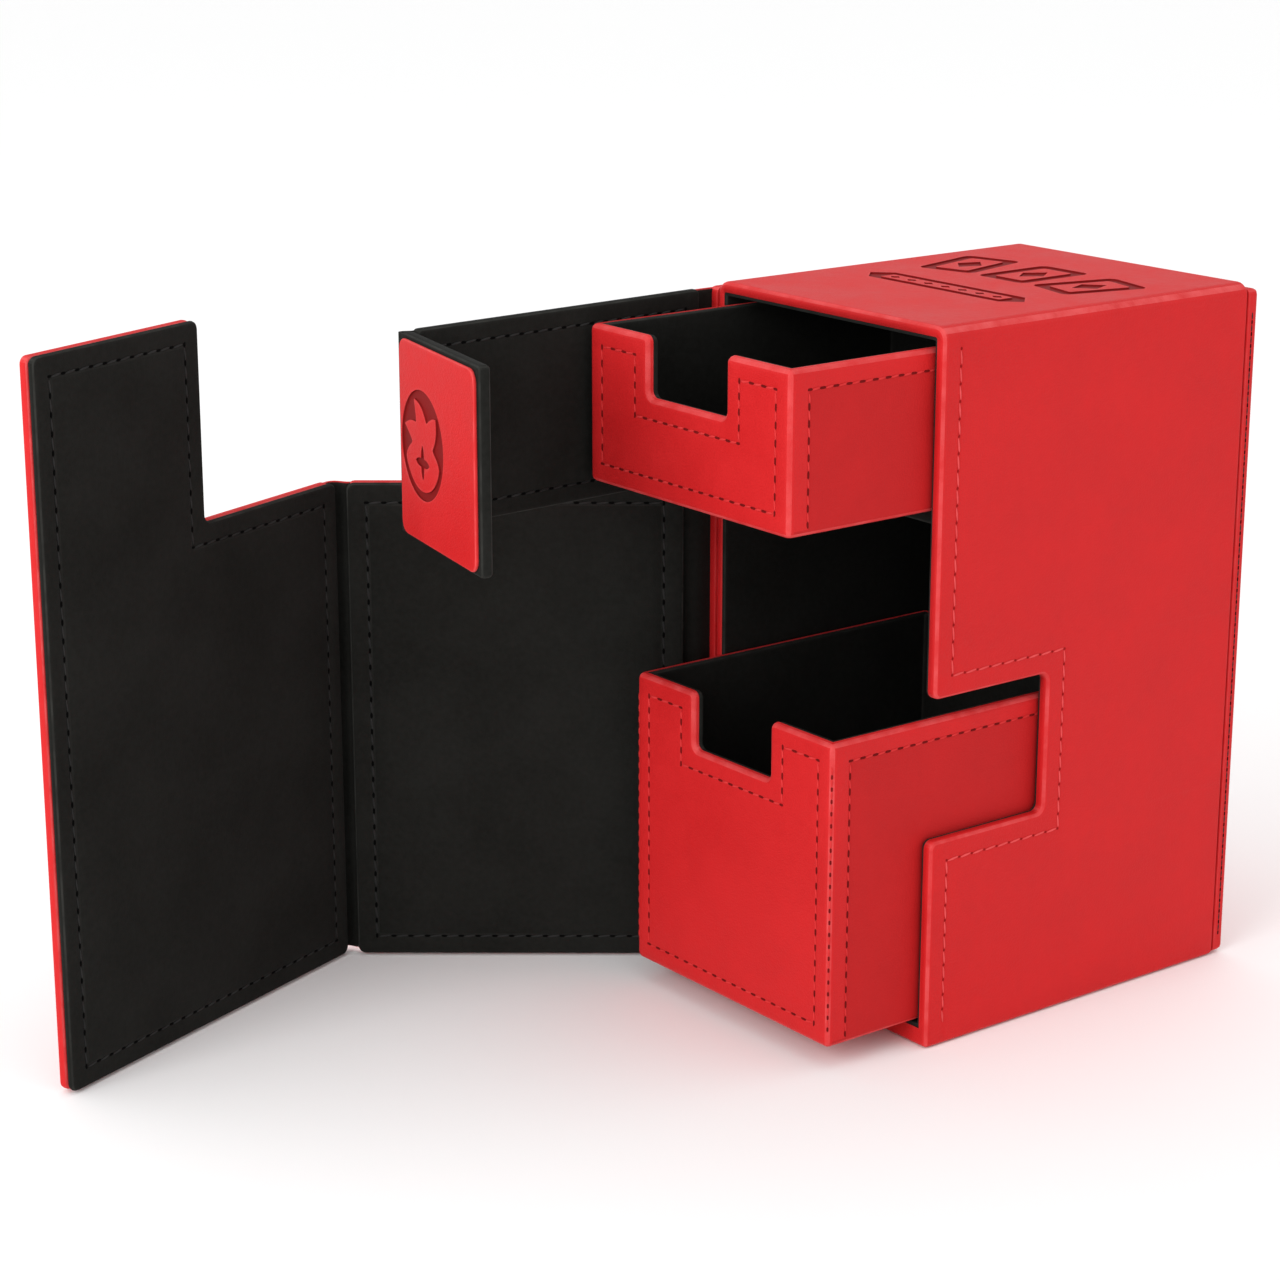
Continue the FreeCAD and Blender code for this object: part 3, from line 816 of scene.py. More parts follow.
@dataclass(frozen=True)
class NotchedBox:
    """An open box, drawn standing: its notched wall faces -y at y 0, and its mouth faces +z."""

    low: float
    high: float
    depth: float
    height: float
    notch_low: float
    notch_high: float
    notch_floor: float
    notch_round: float

    def closed_path(self, margin: float) -> Path:
        """The seam that follows the whole outline of the notched wall.

        Args:
            margin: how far inside the outline it runs.

        Returns:
            The closed path.
        """
        left, right, top = self.low + margin, self.high - margin, self.height - margin
        notch_left, notch_right = self.notch_low - margin, self.notch_high + margin
        dip = self.notch_floor - margin
        around = [(left, margin), (right, margin), (right, top), (notch_right, top), (notch_right, dip),
                  (notch_left, dip), (notch_left, top), (left, top), (left, margin)]
        return [Vector((x, 0.0, z)) for x, z in around]

    def mouth_path(self, margin: float) -> Path:
        """The seam that follows only the mouth's edge and the notch, from end to end."""
        return self.closed_path(margin)[2:8]

    def skin(self, inset: float, lip: float, drop: float, rim: float, soft: float = 0.0,
             low_extra: float = 0.0) -> BMesh:
        """Draws one skin of the walls, with a lip that turns over the rim.

        Args:
            inset: how far inside the outer faces the skin lies.
            lip: how far the lip runs inward from the skin, or outward where it is negative.
            drop: how far the rim lies below the box's own.
            rim: radius of the rim.
            soft: radius of the long edges on the +x side, or 0 to round them like the rest.
            low_extra: how much further the lip runs on the -x side.

        Returns:
            The mesh, looking outward.
        """
        left, right = self.low + inset, self.high - inset
        top, floor = self.height - drop, self.notch_floor - drop
        outline = [(left, inset), (right, inset), (right, top), (self.notch_high, top),
                   (self.notch_high, floor), (self.notch_low, floor), (self.notch_low, top), (left, top)]
        bm = bmesh.new()
        corners = [bm.verts.new((x, inset, z)) for x, z in outline]
        bm.faces.new(corners)
        round_corners(bm, corners[3:7], self.notch_round, 5)
        sides = [e for e in bm.edges if any(v in corners[:2] for v in e.verts)]
        back = only(BMVert, bmesh.ops.extrude_edge_only(bm, edges=sides)["geom"])
        bmesh.ops.translate(bm, verts=back, vec=BACK * (self.depth - 2 * inset))
        bmesh.ops.contextual_create(bm, geom=back)
        self.face_outward(bm, inset)
        if soft:
            long_edges = [e for e in sharp_edges(bm) if all(v.co.x == right for v in e.verts)
                          and e.verts[0].co.y == e.verts[1].co.y]
            round_edges(bm, long_edges, soft, 6)
        self.turn_lip(bm, lip, low_extra)
        self.face_outward(bm, inset)
        round_edges(bm, sharp_edges(bm), rim, 4)
        return bm

    @staticmethod
    def face_outward(bm: BMesh, level: float) -> None:
        """Makes the whole mesh look outward, judged by its notched wall.

        Args:
            bm: the mesh.
            level: y of that wall.
        """
        bmesh.ops.recalc_face_normals(bm, faces=bm.faces[:])
        bm.normal_update()
        wall = largest(f for f in bm.faces if abs(f.calc_center_median().y - level) < ON_PLANE)
        if wall.normal.y > 0.0:
            bmesh.ops.reverse_faces(bm, faces=bm.faces[:])
        bm.normal_update()

    @staticmethod
    def turn_lip(bm: BMesh, lip: float, low_extra: float) -> None:
        """Turns a lip over the rim, square to the wall that each stretch of rim belongs to.

        Args:
            bm: the open skin, looking outward.
            lip: how far the lip runs inward.
            low_extra: how much further it runs on the -x side.
        """
        rim = [e for e in bm.edges if e.is_boundary]
        shifts = {}
        for v in {v for e in rim for v in e.verts}:
            level = Vector((v.normal.x, v.normal.y, 0.0)).normalized()
            facing = max((f.normal.dot(level) for f in v.link_faces), default=1.0)
            shift = -level * lip / max(facing, MITRE_LIMIT)
            shift.x += low_extra if level.x < LEFTWARD else 0.0
            shifts[tuple(round(c, 4) for c in v.co)] = shift
        for v in only(BMVert, bmesh.ops.extrude_edge_only(bm, edges=rim)["geom"]):
            v.co += shifts[tuple(round(c, 4) for c in v.co)]

    def line(self, stem: str, body: str, place: Place, wall: float, rim: float) -> None:
        """Builds the suede that lines the box.

        Args:
            stem: the start of its name and of its CAD node's.
            body: the body it rides on.
            place: the drawing's place.
            wall: how far inside the outer faces it lies.
            rim: how far the leather turns in over the rim, which is where the suede starts.
        """
        bm = self.skin(wall, rim - wall, RIM_DROP, SUEDE_SHEET)
        bmesh.ops.reverse_faces(bm, faces=bm.faces[:])
        dress(bm, f"{stem}_liner", f"{stem}_lining", body, place, [SUEDE], SUEDE_SHEET)


# ---------------------------------------------------------------- case and trays


@dataclass(frozen=True)
class Tray:
    """A drawn-out card tray: leather outside, suede inside, boards between."""

    body: str
    corner_stitches: bool = False
    notch_width: float = 23.0
    notch_depth: float = 11.7
    notch_round: float = 1.4
    wall: float = 2.6
    red_rim: float = 1.45
    edge_round: float = 1.35
    margin: float = 4.0
    side_margin: float = 4.6
    side_foot: float = 2.0

    def build(self) -> None:
        """Builds the tray's leather, lining and stitches."""
        low, high = ROW_PLACE.extent(f"{self.body}_skin")
        place = Place(Vector((0.0, low.y, low.z)), RIGHT, BACK, UP)
        depth, height = high.y - low.y, high.z - low.z
        box = NotchedBox(low.x, high.x, depth, height, -self.notch_width / 2, self.notch_width / 2,
                         height - self.notch_depth, self.notch_round)
        rows = [(box.closed_path(self.margin), -BACK), (self.side_path(box, box.high), RIGHT),
                (self.side_path(box, box.low), -RIGHT)]
        bm = box.skin(0.0, self.red_rim, 0.0, self.edge_round)
        for path, facing in rows:
            TRAY_SEAM.press(bm, path, facing)
        # The side fields take the darker finish, partly painted shade.
        self.darken_sides(bm, box)
        dress(bm, f"{self.body}_leather", f"{self.body}_skin", self.body, place, [LEATHER, PRESSED_PAINTED_SHADE],
              LEATHER_SHEET)
        box.line(self.body, self.body, place, self.wall, self.red_rim)
        TRAY_SEAM.piece(f"{self.body}_stitches", rows, place, self.body)
        if self.corner_stitches:
            corners = [self.corner_row(box, x, side) for x, side in ((box.high, RIGHT), (box.low, -RIGHT))]
            CORNER_SEAM.piece(f"{self.body}_corner_stitches", corners, place, self.body)

    def side_path(self, box: NotchedBox, x: float) -> Path:
        """The seam on a side wall: up its front edge, along its rim and down its back edge.

        Args:
            box: the tray's box.
            x: where the wall lies.

        Returns:
            The path.
        """
        top, near, far = box.height - self.margin, self.side_margin, box.depth - self.side_margin
        around = [(near, self.side_foot), (near, top), (far, top), (far, self.side_foot)]
        return [Vector((x, y, z)) for y, z in around]

    def darken_sides(self, bm: BMesh, box: NotchedBox) -> None:
        """Gives the field inside the seams of the side walls the second finish, a pressed field that is
        darker partly as painted shade of the tray's sides.

        Args:
            bm: the tray's leather.
            box: the tray's box.
        """
        for f in bm.faces:
            middle = f.calc_center_median()
            within = self.side_margin < middle.y < box.depth - self.side_margin
            if within and middle.z < box.height - self.margin and abs(f.normal.x) > SIDEWAYS:
                f.material_index = 1

    def corner_row(self, box: NotchedBox, x: float, side: Vector) -> Row:
        """The closing seam down a front corner.

        Args:
            box: the tray's box.
            x: where the corner's side wall lies.
            side: the way that wall looks.

        Returns:
            The seam's path and the way the rounded corner looks.
        """
        inset = self.edge_round * (1.0 - math.sqrt(0.5))
        foot = Vector((x, inset, self.margin)) - side * inset
        return [foot, foot + UP * (box.height - 2 * self.margin)], (side - BACK).normalized()


@dataclass(frozen=True)
class Spot:
    """A place on the lid, in the case's drawing, where x is up."""

    level: float
    across: float
    along: float
    turn: float = 0.0

    def lay(self, points: Iterable[Point]) -> Path:
        """Lays a flat figure round this place.

        Args:
            points: the figure's points.

        Returns:
            The points on the lid.
        """
        turned = Matrix.Rotation(math.radians(self.turn), 2)
        spread = [turned @ Vector(p) for p in points]
        return [Vector((self.level, self.across + p.x, self.along + p.y)) for p in spread]

    def block(self, size: Point, corner: float) -> Path:
        """Lays a rectangle with round corners.

        Args:
            size: its width and length.
            corner: radius of its corners.

        Returns:
            Its points.
        """
        found = []
        for quarter, (x_side, y_side) in enumerate(((1, 1), (-1, 1), (-1, -1), (1, -1))):
            x, y = x_side * (size[0] / 2 - corner), y_side * (size[1] / 2 - corner)
            for angle in (math.radians(90.0 * quarter + 30.0 * step) for step in range(4)):
                found.append((x + corner * math.cos(angle), y + corner * math.sin(angle)))
        return self.lay(found)

    def diamond(self, tall: float, slim: float = 0.72) -> Path:
        """Lays a tall diamond, from half its height and its width's share of that."""
        wide = tall * slim
        return self.lay([(wide, 0.0), (0.0, tall), (-wide, 0.0), (0.0, -tall)])


@dataclass(frozen=True)
class Motif:
    """The plain figures debossed in the lid: a framed bar with pips, and three cards in a row."""

    bar: Point = (44.0, 7.2)
    bar_tip: float = 3.5
    bar_front: float = 27.0
    field: Point = (34.0, 3.6)
    field_corner: float = 0.3
    pips: int = 7
    pip: float = 1.35
    card: Point = (13.0, 19.0)
    card_corner: float = 1.8
    window_corner: float = 0.6
    card_centre: float = 54.5
    card_step: float = 17.0
    card_turn: float = 14.0
    card_sink: float = 1.4
    card_line: float = 2.6
    suit: float = 4.0
    depth: float = 0.35

    def cut(self, bm: BMesh, level: float, middle: float, mouth: float) -> None:
        """Debosses the figures in the case's lid.

        Args:
            bm: the case's skin in its drawing, where x is up.
            level: x of the lid.
            middle: y of the lid's middle.
            mouth: z of the mouth's edge.
        """
        along = mouth - self.bar_front - self.bar[1] / 2
        bar = Spot(level, middle, along)
        half, edge = self.bar[0] / 2, self.bar[1] / 2
        flat = half - self.bar_tip
        tips = [(half, 0.0), (flat, edge), (-flat, edge), (-half, 0.0), (-flat, -edge), (flat, -edge)]
        pockets = [Pocket(bar.lay(tips), [bar.block(self.field, self.field_corner)])]
        step = self.field[0] / self.pips
        marks = [[Spot(level, middle + step * (k - (self.pips - 1) / 2), along, 90.0).diamond(self.pip)
                  for k in range(self.pips)]]
        window = (self.card[0] - 2 * self.card_line, self.card[1] - 2 * self.card_line)
        for k in (-1, 0, 1):
            spot = Spot(level, middle + k * self.card_step,
                        mouth - self.card_centre + self.card_sink * abs(k), self.card_turn * k)
            pockets.append(Pocket(spot.block(self.card, self.card_corner),
                                  [spot.block(window, self.window_corner)]))
            marks.append([spot.diamond(self.suit)])
        tops = deboss(bm, largest(flat_faces(bm, RIGHT * level, RIGHT)), pockets, self.depth)
        for top, figures in zip(tops, marks):
            deboss(bm, top, [Pocket(figure) for figure in figures], self.depth)


@dataclass(frozen=True)
class Case:
    """The upright case: leather outside, suede inside, a shelf between the trays, an inset base."""

    body: str = "shell"
    notch_low: float = 42.6
    notch_high: float = 71.0
    notch_back: float = -11.05
    notch_round: float = 1.6
    wall: float = 2.8
    red_rim: float = 2.05
    edge_round: float = 2.6
    rim_round: float = 1.0
    lift: float = 0.15
    margin: float = 4.3
    shelf_corner: float = 0.8
    shelf_round: float = 1.1
    base_gap: float = 1.6
    base_corner: float = 1.0
    lid_corner: float = 0.85
    flat_rim: float = 0.2
    motif: Motif = Motif()

    def build(self) -> None:
        """Builds the case's leather, lining, shelf, base and stitches."""
        low, high = ROW_PLACE.extent("case_skin")
        place = Place(Vector((high.x, high.y, 0.0)), UP, -RIGHT, -BACK)
        box = NotchedBox(self.lift, high.z, high.x - low.x, high.y - low.y, self.notch_low, self.notch_high,
                         high.y - self.notch_back, self.notch_round)
        # The floor board is thicker than the walls, so the lining's box starts higher.
        floor = ROW_PLACE.extent("case_lining")[0].z + SUEDE_SHEET - self.wall
        path = box.mouth_path(self.margin)
        bm = box.skin(0.0, self.red_rim, 0.0, self.rim_round, self.edge_round, floor - box.low)
        self.motif.cut(bm, box.high, box.depth / 2, box.height)
        SEAM.press(bm, path, -BACK)
        dress(bm, "case_leather", "case_skin", self.body, place, [LEATHER, BURNISHED], LEATHER_SHEET)
        replace(box, low=floor).line("case", self.body, place, self.wall, self.red_rim)
        SEAM.piece("case_stitches", [(path, -BACK)], place, self.body)
        self.build_shelf()
        self.build_base()
        self.build_lid_board()

    def build_shelf(self) -> None:
        """Builds the suede wrap of the shelf between the trays, with a rolled front edge."""
        low, high = FLAT_PLACE.extent("divider_shelf_wrap")
        bm = plate(corners_of(low, high), low.y, high.y, self.shelf_corner, self.shelf_round, 4)
        dress(bm, "divider_shelf_cloth", "divider_shelf_wrap", self.body, FLAT_PLACE, [SUEDE])

    def build_base(self) -> None:
        """Builds the leather sheet glued under the case, with a pressed border."""
        low, high = FLAT_PLACE.extent("base_skin")
        bm = plate(corners_of(low, high, self.base_gap), low.y, high.y, self.base_corner, self.flat_rim, 2)
        start = low + (RIGHT + UP) * self.margin
        end = Vector((high.x, low.y, high.z)) - (RIGHT + UP) * self.margin
        SEAM.press(bm, upright_border(start, end), -BACK)
        dress(bm, "base_leather", "base_skin", self.body, FLAT_PLACE, [LEATHER])

    def build_lid_board(self) -> None:
        """Builds the lid's board with its long edges rounded, so that it follows the soft leather."""
        low, high = ROW_PLACE.extent("case_top_board")
        bm = plate(corners_of(low, high), low.y, high.y, self.lid_corner, self.flat_rim, 2)
        dress(bm, "case_lid_board", "case_top_board", self.body, ROW_PLACE, [GREYBOARD])


# ---------------------------------------------------------------- cover


@dataclass(frozen=True)
class FixedCover:
    """The part of the cover glued round the case's left side and back."""

    body: str = "shell"
    outer_round: float = 1.6
    rim_round: float = 1.2
    margin: float = 4.2
    edge_shift: float = 0.3

    def build(self) -> None:
        """Builds the cover's leather and its stitches."""
        low, high = ROW_PLACE.extent("cover_skin")
        case_low, case_high = ROW_PLACE.extent("case_skin")
        outline = [(low.x, low.y), (case_low.x, low.y), (case_low.x, case_high.y), (high.x, case_high.y),
                   (high.x, high.y), (low.x, high.y)]
        bm = bmesh.new()
        bm.faces.new([bm.verts.new((x, y, low.z)) for x, y in outline])
        round_corners(bm, [v for v in bm.verts if v.co.x == low.x and v.co.y == high.y], self.outer_round, 6)
        thicken(bm, UP * (high.z - low.z))
        rims = [e for e in sharp_edges(bm) if any(
            min(abs(v.co.x - case_low.x), abs(v.co.y - case_high.y)) > ON_PLANE for v in e.verts)]
        round_edges(bm, rims, self.rim_round, 3)
        foot, head = low.z + self.margin, high.z - self.margin
        near = self.outer_round + self.margin
        left = upright_border(Vector((low.x, low.y + self.margin, foot)),
                              Vector((low.x, high.y - near, head)))
        back = upright_border(Vector((low.x + near, high.y, foot)),
                              Vector((high.x - self.margin, high.y, head)))
        rows = [(left, -RIGHT), (back, BACK)]
        for path, facing in rows:
            SEAM.press(bm, path, facing)
        dress(bm, "cover_leather", "cover_skin", self.body, ROW_PLACE, [LEATHER])
        SEAM.piece("cover_stitches", rows, ROW_PLACE, self.body)
        middle = (case_high.y + high.y) / 2 - self.edge_shift
        edge = [Vector((high.x, middle, z)) for z in (foot, head)]
        EDGE_SEAM.piece("cover_edge_stitches", [(edge, RIGHT)], ROW_PLACE, self.body)


@dataclass(frozen=True)
class Layer:
    """One layer of a folding part: a flat piece with soft rims, sewn a margin inside its border."""

    body: str
    place: Place
    outline: Sequence[Point]
    near: float
    far: float
    corner: float
    rim: float
    margin: float = 3.6
    inner: bool = False
    rim_segments: int = 3

    @property
    def facing(self) -> Vector:
        """The way its seen face looks: inward on an inner layer, outward on an outer one."""
        return BACK if self.inner else -BACK

    @property
    def kind(self) -> Stitching:
        """How it is sewn."""
        return LINING_SEAM if self.inner else SEAM

    @property
    def border(self) -> Path:
        """The seam on its seen face.

        Returns:
            The closed path, a margin inside the outline.
        """
        corners = [Vector((x, self.far if self.inner else self.near, z)) for x, z in self.outline]
        turns = []
        for before, here, after in zip(corners[-1:] + corners, corners, corners[1:] + corners[:1]):
            ways = (here - before).normalized() + (after - here).normalized()
            turns.append(here + ways.cross(BACK) * self.margin)
        return turns + turns[:1]

    def draw(self) -> BMesh:
        """Draws the layer with its seam pressed in.

        Returns:
            The mesh.
        """
        bm = plate(self.outline, self.near, self.far, self.corner, self.rim, self.rim_segments)
        self.kind.press(bm, self.border, self.facing)
        return bm

    def finish(self, bm: BMesh, name: str, node: str, *finishes: Finish) -> bpy.types.Object:
        """Finishes the drawn layer and sews it.

        Args:
            bm: the drawing.
            name: the piece's name.
            node: the CAD node that it replaces.
            finishes: its finishes.

        Returns:
            The layer's object.
        """
        piece = dress(bm, name, node, self.body, self.place, finishes)
        stitches = f"{self.body}_lining_stitches" if self.inner else f"{self.body}_stitches"
        self.kind.piece(stitches, [(self.border, self.facing)], self.place, self.body)
        return piece


@dataclass(frozen=True)
class Panel:
    """A folding panel of the cover: red leather outside, black padded lining inside."""

    body: str
    place: Place
    outline: Sequence[Point]
    fold_sides: Sequence[float] = (-1.0, 1.0)
    corner: float = 1.6
    rim: float = 0.75
    pad_rim: float = 0.7
    margin: float = 4.0
    dye_from: float = 1.0
    crown: float = 0.35
    crown_slope: float = 3.5
    crown_grid: float = 7.0

    def build(self) -> None:
        """Builds the panel's leather and its padded lining."""
        low, _ = self.place.extent(f"{self.body}_skin")
        near, far = self.place.extent(f"{self.body}_lining")
        leather = Layer(self.body, self.place, self.outline, low.y, near.y, self.corner, self.rim,
                        self.margin)
        bm = leather.draw()
        self.dye_ends(bm)
        leather.finish(bm, f"{self.body}_leather", f"{self.body}_skin", LEATHER, DYED_EDGE)
        pad = Layer(self.body, self.place, self.outline, near.y, far.y - self.crown, self.corner,
                    self.pad_rim, self.margin, inner=True)
        bm = pad.draw()
        self.swell(bm, pad)
        lining = pad.finish(bm, f"{self.body}_padding", f"{self.body}_lining", SUEDE)

    def dye_ends(self, bm: BMesh) -> None:
        """Dyes the inner half of the ends that meet a fold, so that they look like the lining.

        Args:
            bm: the panel's leather.
        """
        for side in self.fold_sides:
            reach = max(x * side for x, z in self.outline)
            end = flat_faces(bm, RIGHT * reach * side, RIGHT * side)
            cut_faces(bm, end, BACK * self.dye_from, BACK)
            for f in bm.faces:
                middle = f.calc_center_median()
                if middle.y > self.dye_from and middle.x * side > reach - self.rim:
                    f.material_index = 1

    def swell(self, bm: BMesh, pad: Layer) -> None:
        """Lifts the padding between the seams into a low crown.

        Args:
            bm: the lining's mesh, with its seam already pressed.
            pad: the lining.
        """
        seam = pad.border
        for axis, places in zip((RIGHT, UP), zip(*self.outline)):
            start, end = min(places), max(places)
            count = max(2, round((end - start) / self.crown_grid))
            for k in range(1, count):
                at = axis * (start + (end - start) * k / count)
                cut_faces(bm, flat_faces(bm, seam[0], pad.facing), at, axis)
        for v in bm.verts:
            if abs(v.co.y - pad.far) < ON_PLANE and self.holds(seam, v.co):
                gap = min(off_run(v.co, start, end) for start, end in zip(seam, seam[1:]))
                v.co += pad.facing * self.crown * (1.0 - math.exp(-gap / self.crown_slope))
        bm.normal_update()

    @staticmethod
    def holds(seam: Path, point: Vector) -> bool:
        """Whether a point lies inside the seam, by counting the runs to its right.

        Args:
            seam: the closed path.
            point: the point.

        Returns:
            True where it lies inside.
        """
        crossings = 0
        for a, b in zip(seam, seam[1:]):
            if (a.z > point.z) != (b.z > point.z):
                crossings += point.x < a.x + (b.x - a.x) * (point.z - a.z) / (b.z - a.z)
        return crossings % 2 == 1


@dataclass(frozen=True)
class Strap:
    """The upper closing strap: a suede-wrapped board with a red face outside."""

    place: Place
    body: str = "strap"
    corner: float = 1.0
    rim: float = 0.7
    face_corner: float = 1.6
    face_rim: float = 0.3

    def build(self) -> None:
        """Builds the strap's wrap and its red face."""
        low, high = self.place.extent("strap_wrap")
        face_low, face_high = self.place.extent("strap_skin")
        wrap = Layer(self.body, self.place, corners_of(low, high), face_high.y, high.y, self.corner,
                     self.rim, inner=True)
        wrap.finish(wrap.draw(), "strap_cloth", "strap_wrap", SUEDE)
        face = Layer(self.body, self.place, corners_of(face_low, face_high), face_low.y, face_high.y,
                     self.face_corner, self.face_rim, rim_segments=2)
        face.finish(face.draw(), "strap_leather", "strap_skin", LEATHER)


@dataclass(frozen=True)
class Flap:
    """The closing flap: a suede-wrapped board with a red patch and a debossed medallion."""

    place: Place
    body: str = "flap"
    corner: float = 1.0
    rim: float = 0.8
    patch_corner: float = 2.4
    patch_rim: float = 0.35
    bowl_rise: float = 0.4
    bowl_share: float = 0.92
    petal_point: float = 0.7
    star_point: float = 0.9
    emblem_from_hinge: float = 13.3
    emblem_radius: float = 10.2
    petal_reach: float = 8.9
    petal_dip: float = 4.9
    petal_sweep: float = 0.55
    star_at: float = -3.2
    star_reach: float = 3.4
    star_waist: float = 1.2
    depth: float = 0.45
    crest: float = 0.25

    def build(self) -> None:
        """Builds the flap's wrap and its patch with the medallion."""
        low, high = self.place.extent("flap_wrap")
        patch_low, patch_high = self.place.extent("flap_patch")
        wrap = Layer(self.body, self.place, corners_of(low, high), patch_high.y, high.y, self.corner,
                     self.rim, inner=True)
        wrap.finish(wrap.draw(), "flap_cloth", "flap_wrap", SUEDE)
        bm = plate(corners_of(patch_low, patch_high), patch_low.y, patch_high.y, self.patch_corner,
                   self.patch_rim)
        self.deboss_emblem(bm, Vector((self.emblem_from_hinge, patch_low.y, (low.z + high.z) / 2)))
        dress(bm, "flap_patch_leather", "flap_patch", self.body, self.place, [LEATHER, BURNISHED])

    def deboss_emblem(self, bm: BMesh, centre: Vector) -> None:
        """Sinks the medallion's ground and star, and softens the edges left on the patch's face.

        Args:
            bm: the patch.
            centre: the medallion's middle, on the patch's face.
        """
        rim = self.figure(centre, 64, lambda turn: self.emblem_radius)
        flame = self.figure(centre, 84, self.petals, self.petal_sweep)
        face = largest(flat_faces(bm, centre, -BACK))
        tops = deboss(bm, face, [Pocket(rim, [flame])], self.depth)
        star = self.figure(centre + UP * self.star_at, 40, self.star)
        deboss(bm, tops[0], [Pocket(star)], self.depth)
        bm.normal_update()
        # The rounded crests take the painted highlight of rounded edges.
        crests = [e for e in sharp_edges(bm) if all(abs(v.co.y - centre.y) < ON_PLANE for v in e.verts)]
        bmesh.ops.bevel(bm, geom=crests, offset=self.crest, offset_type="OFFSET", segments=2, profile=0.5,
                        affect="EDGES", material=0, clamp_overlap=True)

    @staticmethod
    def figure(centre: Vector, count: int, reach: Callable[[float], float], sweep: float = 0.0) -> Path:
        """Draws a closed figure on the patch.

        Args:
            centre: its middle.
            count: how many points it has.
            reach: its radius at each angle.
            sweep: how far the outermost points of its upper half are swept round.

        Returns:
            Its points.
        """
        found = []
        for turn in (math.tau * k / count for k in range(count)):
            far = reach(turn)
            swept = turn + sweep * (far / 10.0) ** 2 * max(0.0, math.sin(turn))
            found.append(centre + (RIGHT * math.cos(swept) + UP * math.sin(swept)) * far)
        return found

    def petals(self, turn: float) -> float:
        """The raised flame: a round bowl with three pointed tongues above it.

        Args:
            turn: the angle, in radians.

        Returns:
            Its radius there.
        """
        if math.sin(turn) < 0.0:
            lobe = eased(-math.sin(turn) / self.bowl_rise) * self.bowl_share
        else:
            lobe = (1.0 - abs(math.sin(3.0 * (turn - math.pi / 2)))) ** self.petal_point
        return self.petal_dip + (self.petal_reach - self.petal_dip) * lobe

    def star(self, turn: float) -> float:
        """The radius of the sunk star with four long points."""
        point = (1.0 - abs(math.sin(2.0 * turn))) ** self.star_point
        return self.star_waist + (self.star_reach - self.star_waist) * point


@dataclass(frozen=True)
class Hinge:
    """A fold line of the cover, and the degrees that the part past it stands open."""

    at: Vector
    opening: float

    @classmethod
    def read(cls, joint: str, fully_open: float = 180.0) -> "Hinge":
        """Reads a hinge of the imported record.

        Args:
            joint: the joint's name.
            fully_open: where the part past it stands at the joint's open limit.

        Returns:
            The hinge, in millimetres and degrees.
        """
        found = next(j for j in frame["joints"] if j["name"] == joint)
        return cls(Vector(found["pos_m"]) / MM, fully_open - max(found["range_deg"]))

    @property
    def place(self) -> Place:
        """The place of the part past it."""
        return panel_place(self.at, self.opening)


@dataclass(frozen=True)
class Fold:
    """A flexible fold between two stiff pieces: one bent sheet outside and one inside."""

    name: str
    still: str
    moving: str
    strip: str
    hinge: Hinge
    opening_still: float
    before: float
    after: float = 1.2
    outside: tuple[float, float] = (0.25, 0.85)
    inside: tuple[float, float] = (0.85, 1.25)
    outer_finish: Finish = LEATHER
    tuck: float = 0.8
    outer_drop: float = 0.4
    inner_drop: float = 0.6
    along: int = 28
    tall: int = 10

    def build(self) -> None:
        """Builds both sheets of the fold in the height of the strip that they replace."""
        low, high = ROW_PLACE.extent(self.strip)
        drop = self.outer_drop
        piece = self.sheet("outer_fold", self.outside, self.outer_finish, low.z + drop, high.z - drop)
        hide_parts(self.strip)
        drop = self.inner_drop
        self.sheet("inner_fold", self.inside, SUEDE, low.z + drop, high.z - drop)

    def sheet(self, suffix: str, depths: tuple[float, float], finish: Finish, low: float,
              high: float) -> bpy.types.Object:
        """Makes one sheet of the fold, bent once to the pose in which its two pieces stand.

        Args:
            suffix: the end of the piece's name.
            depths: y of its outer and inner faces.
            finish: its finish.
            low: its lower edge.
            high: its upper edge.

        Returns:
            The object.
        """
        start, end = -self.before - self.tuck, self.after + self.tuck
        middle = UP * (low + high) / 2
        columns = Matrix((RIGHT * (end - start) / 2, UP * (high - low) / 2, BACK)).transposed().to_4x4()
        columns.translation = RIGHT * (start + end) / 2 + BACK * depths[0] + middle
        bm = bmesh.new()
        bmesh.ops.create_grid(bm, x_segments=self.along, y_segments=self.tall, size=1.0, matrix=columns)
        bm.normal_update()
        thicken(bm, BACK * (depths[1] - depths[0]))
        bend = math.radians(self.opening_still - self.hinge.opening)
        for v in bm.verts:
            share = eased((v.co.x + self.before) / (self.before + self.after))
            v.co = Matrix.Rotation(bend * share, 3, "Z") @ v.co
        place, away = panel_place(self.hinge.at, self.opening_still), self.hinge.place
        piece = finish_piece(bm, f"{self.name}_{suffix}", place, [finish])
        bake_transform(piece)
        return piece


# ---------------------------------------------------------------- the whole box, its stage


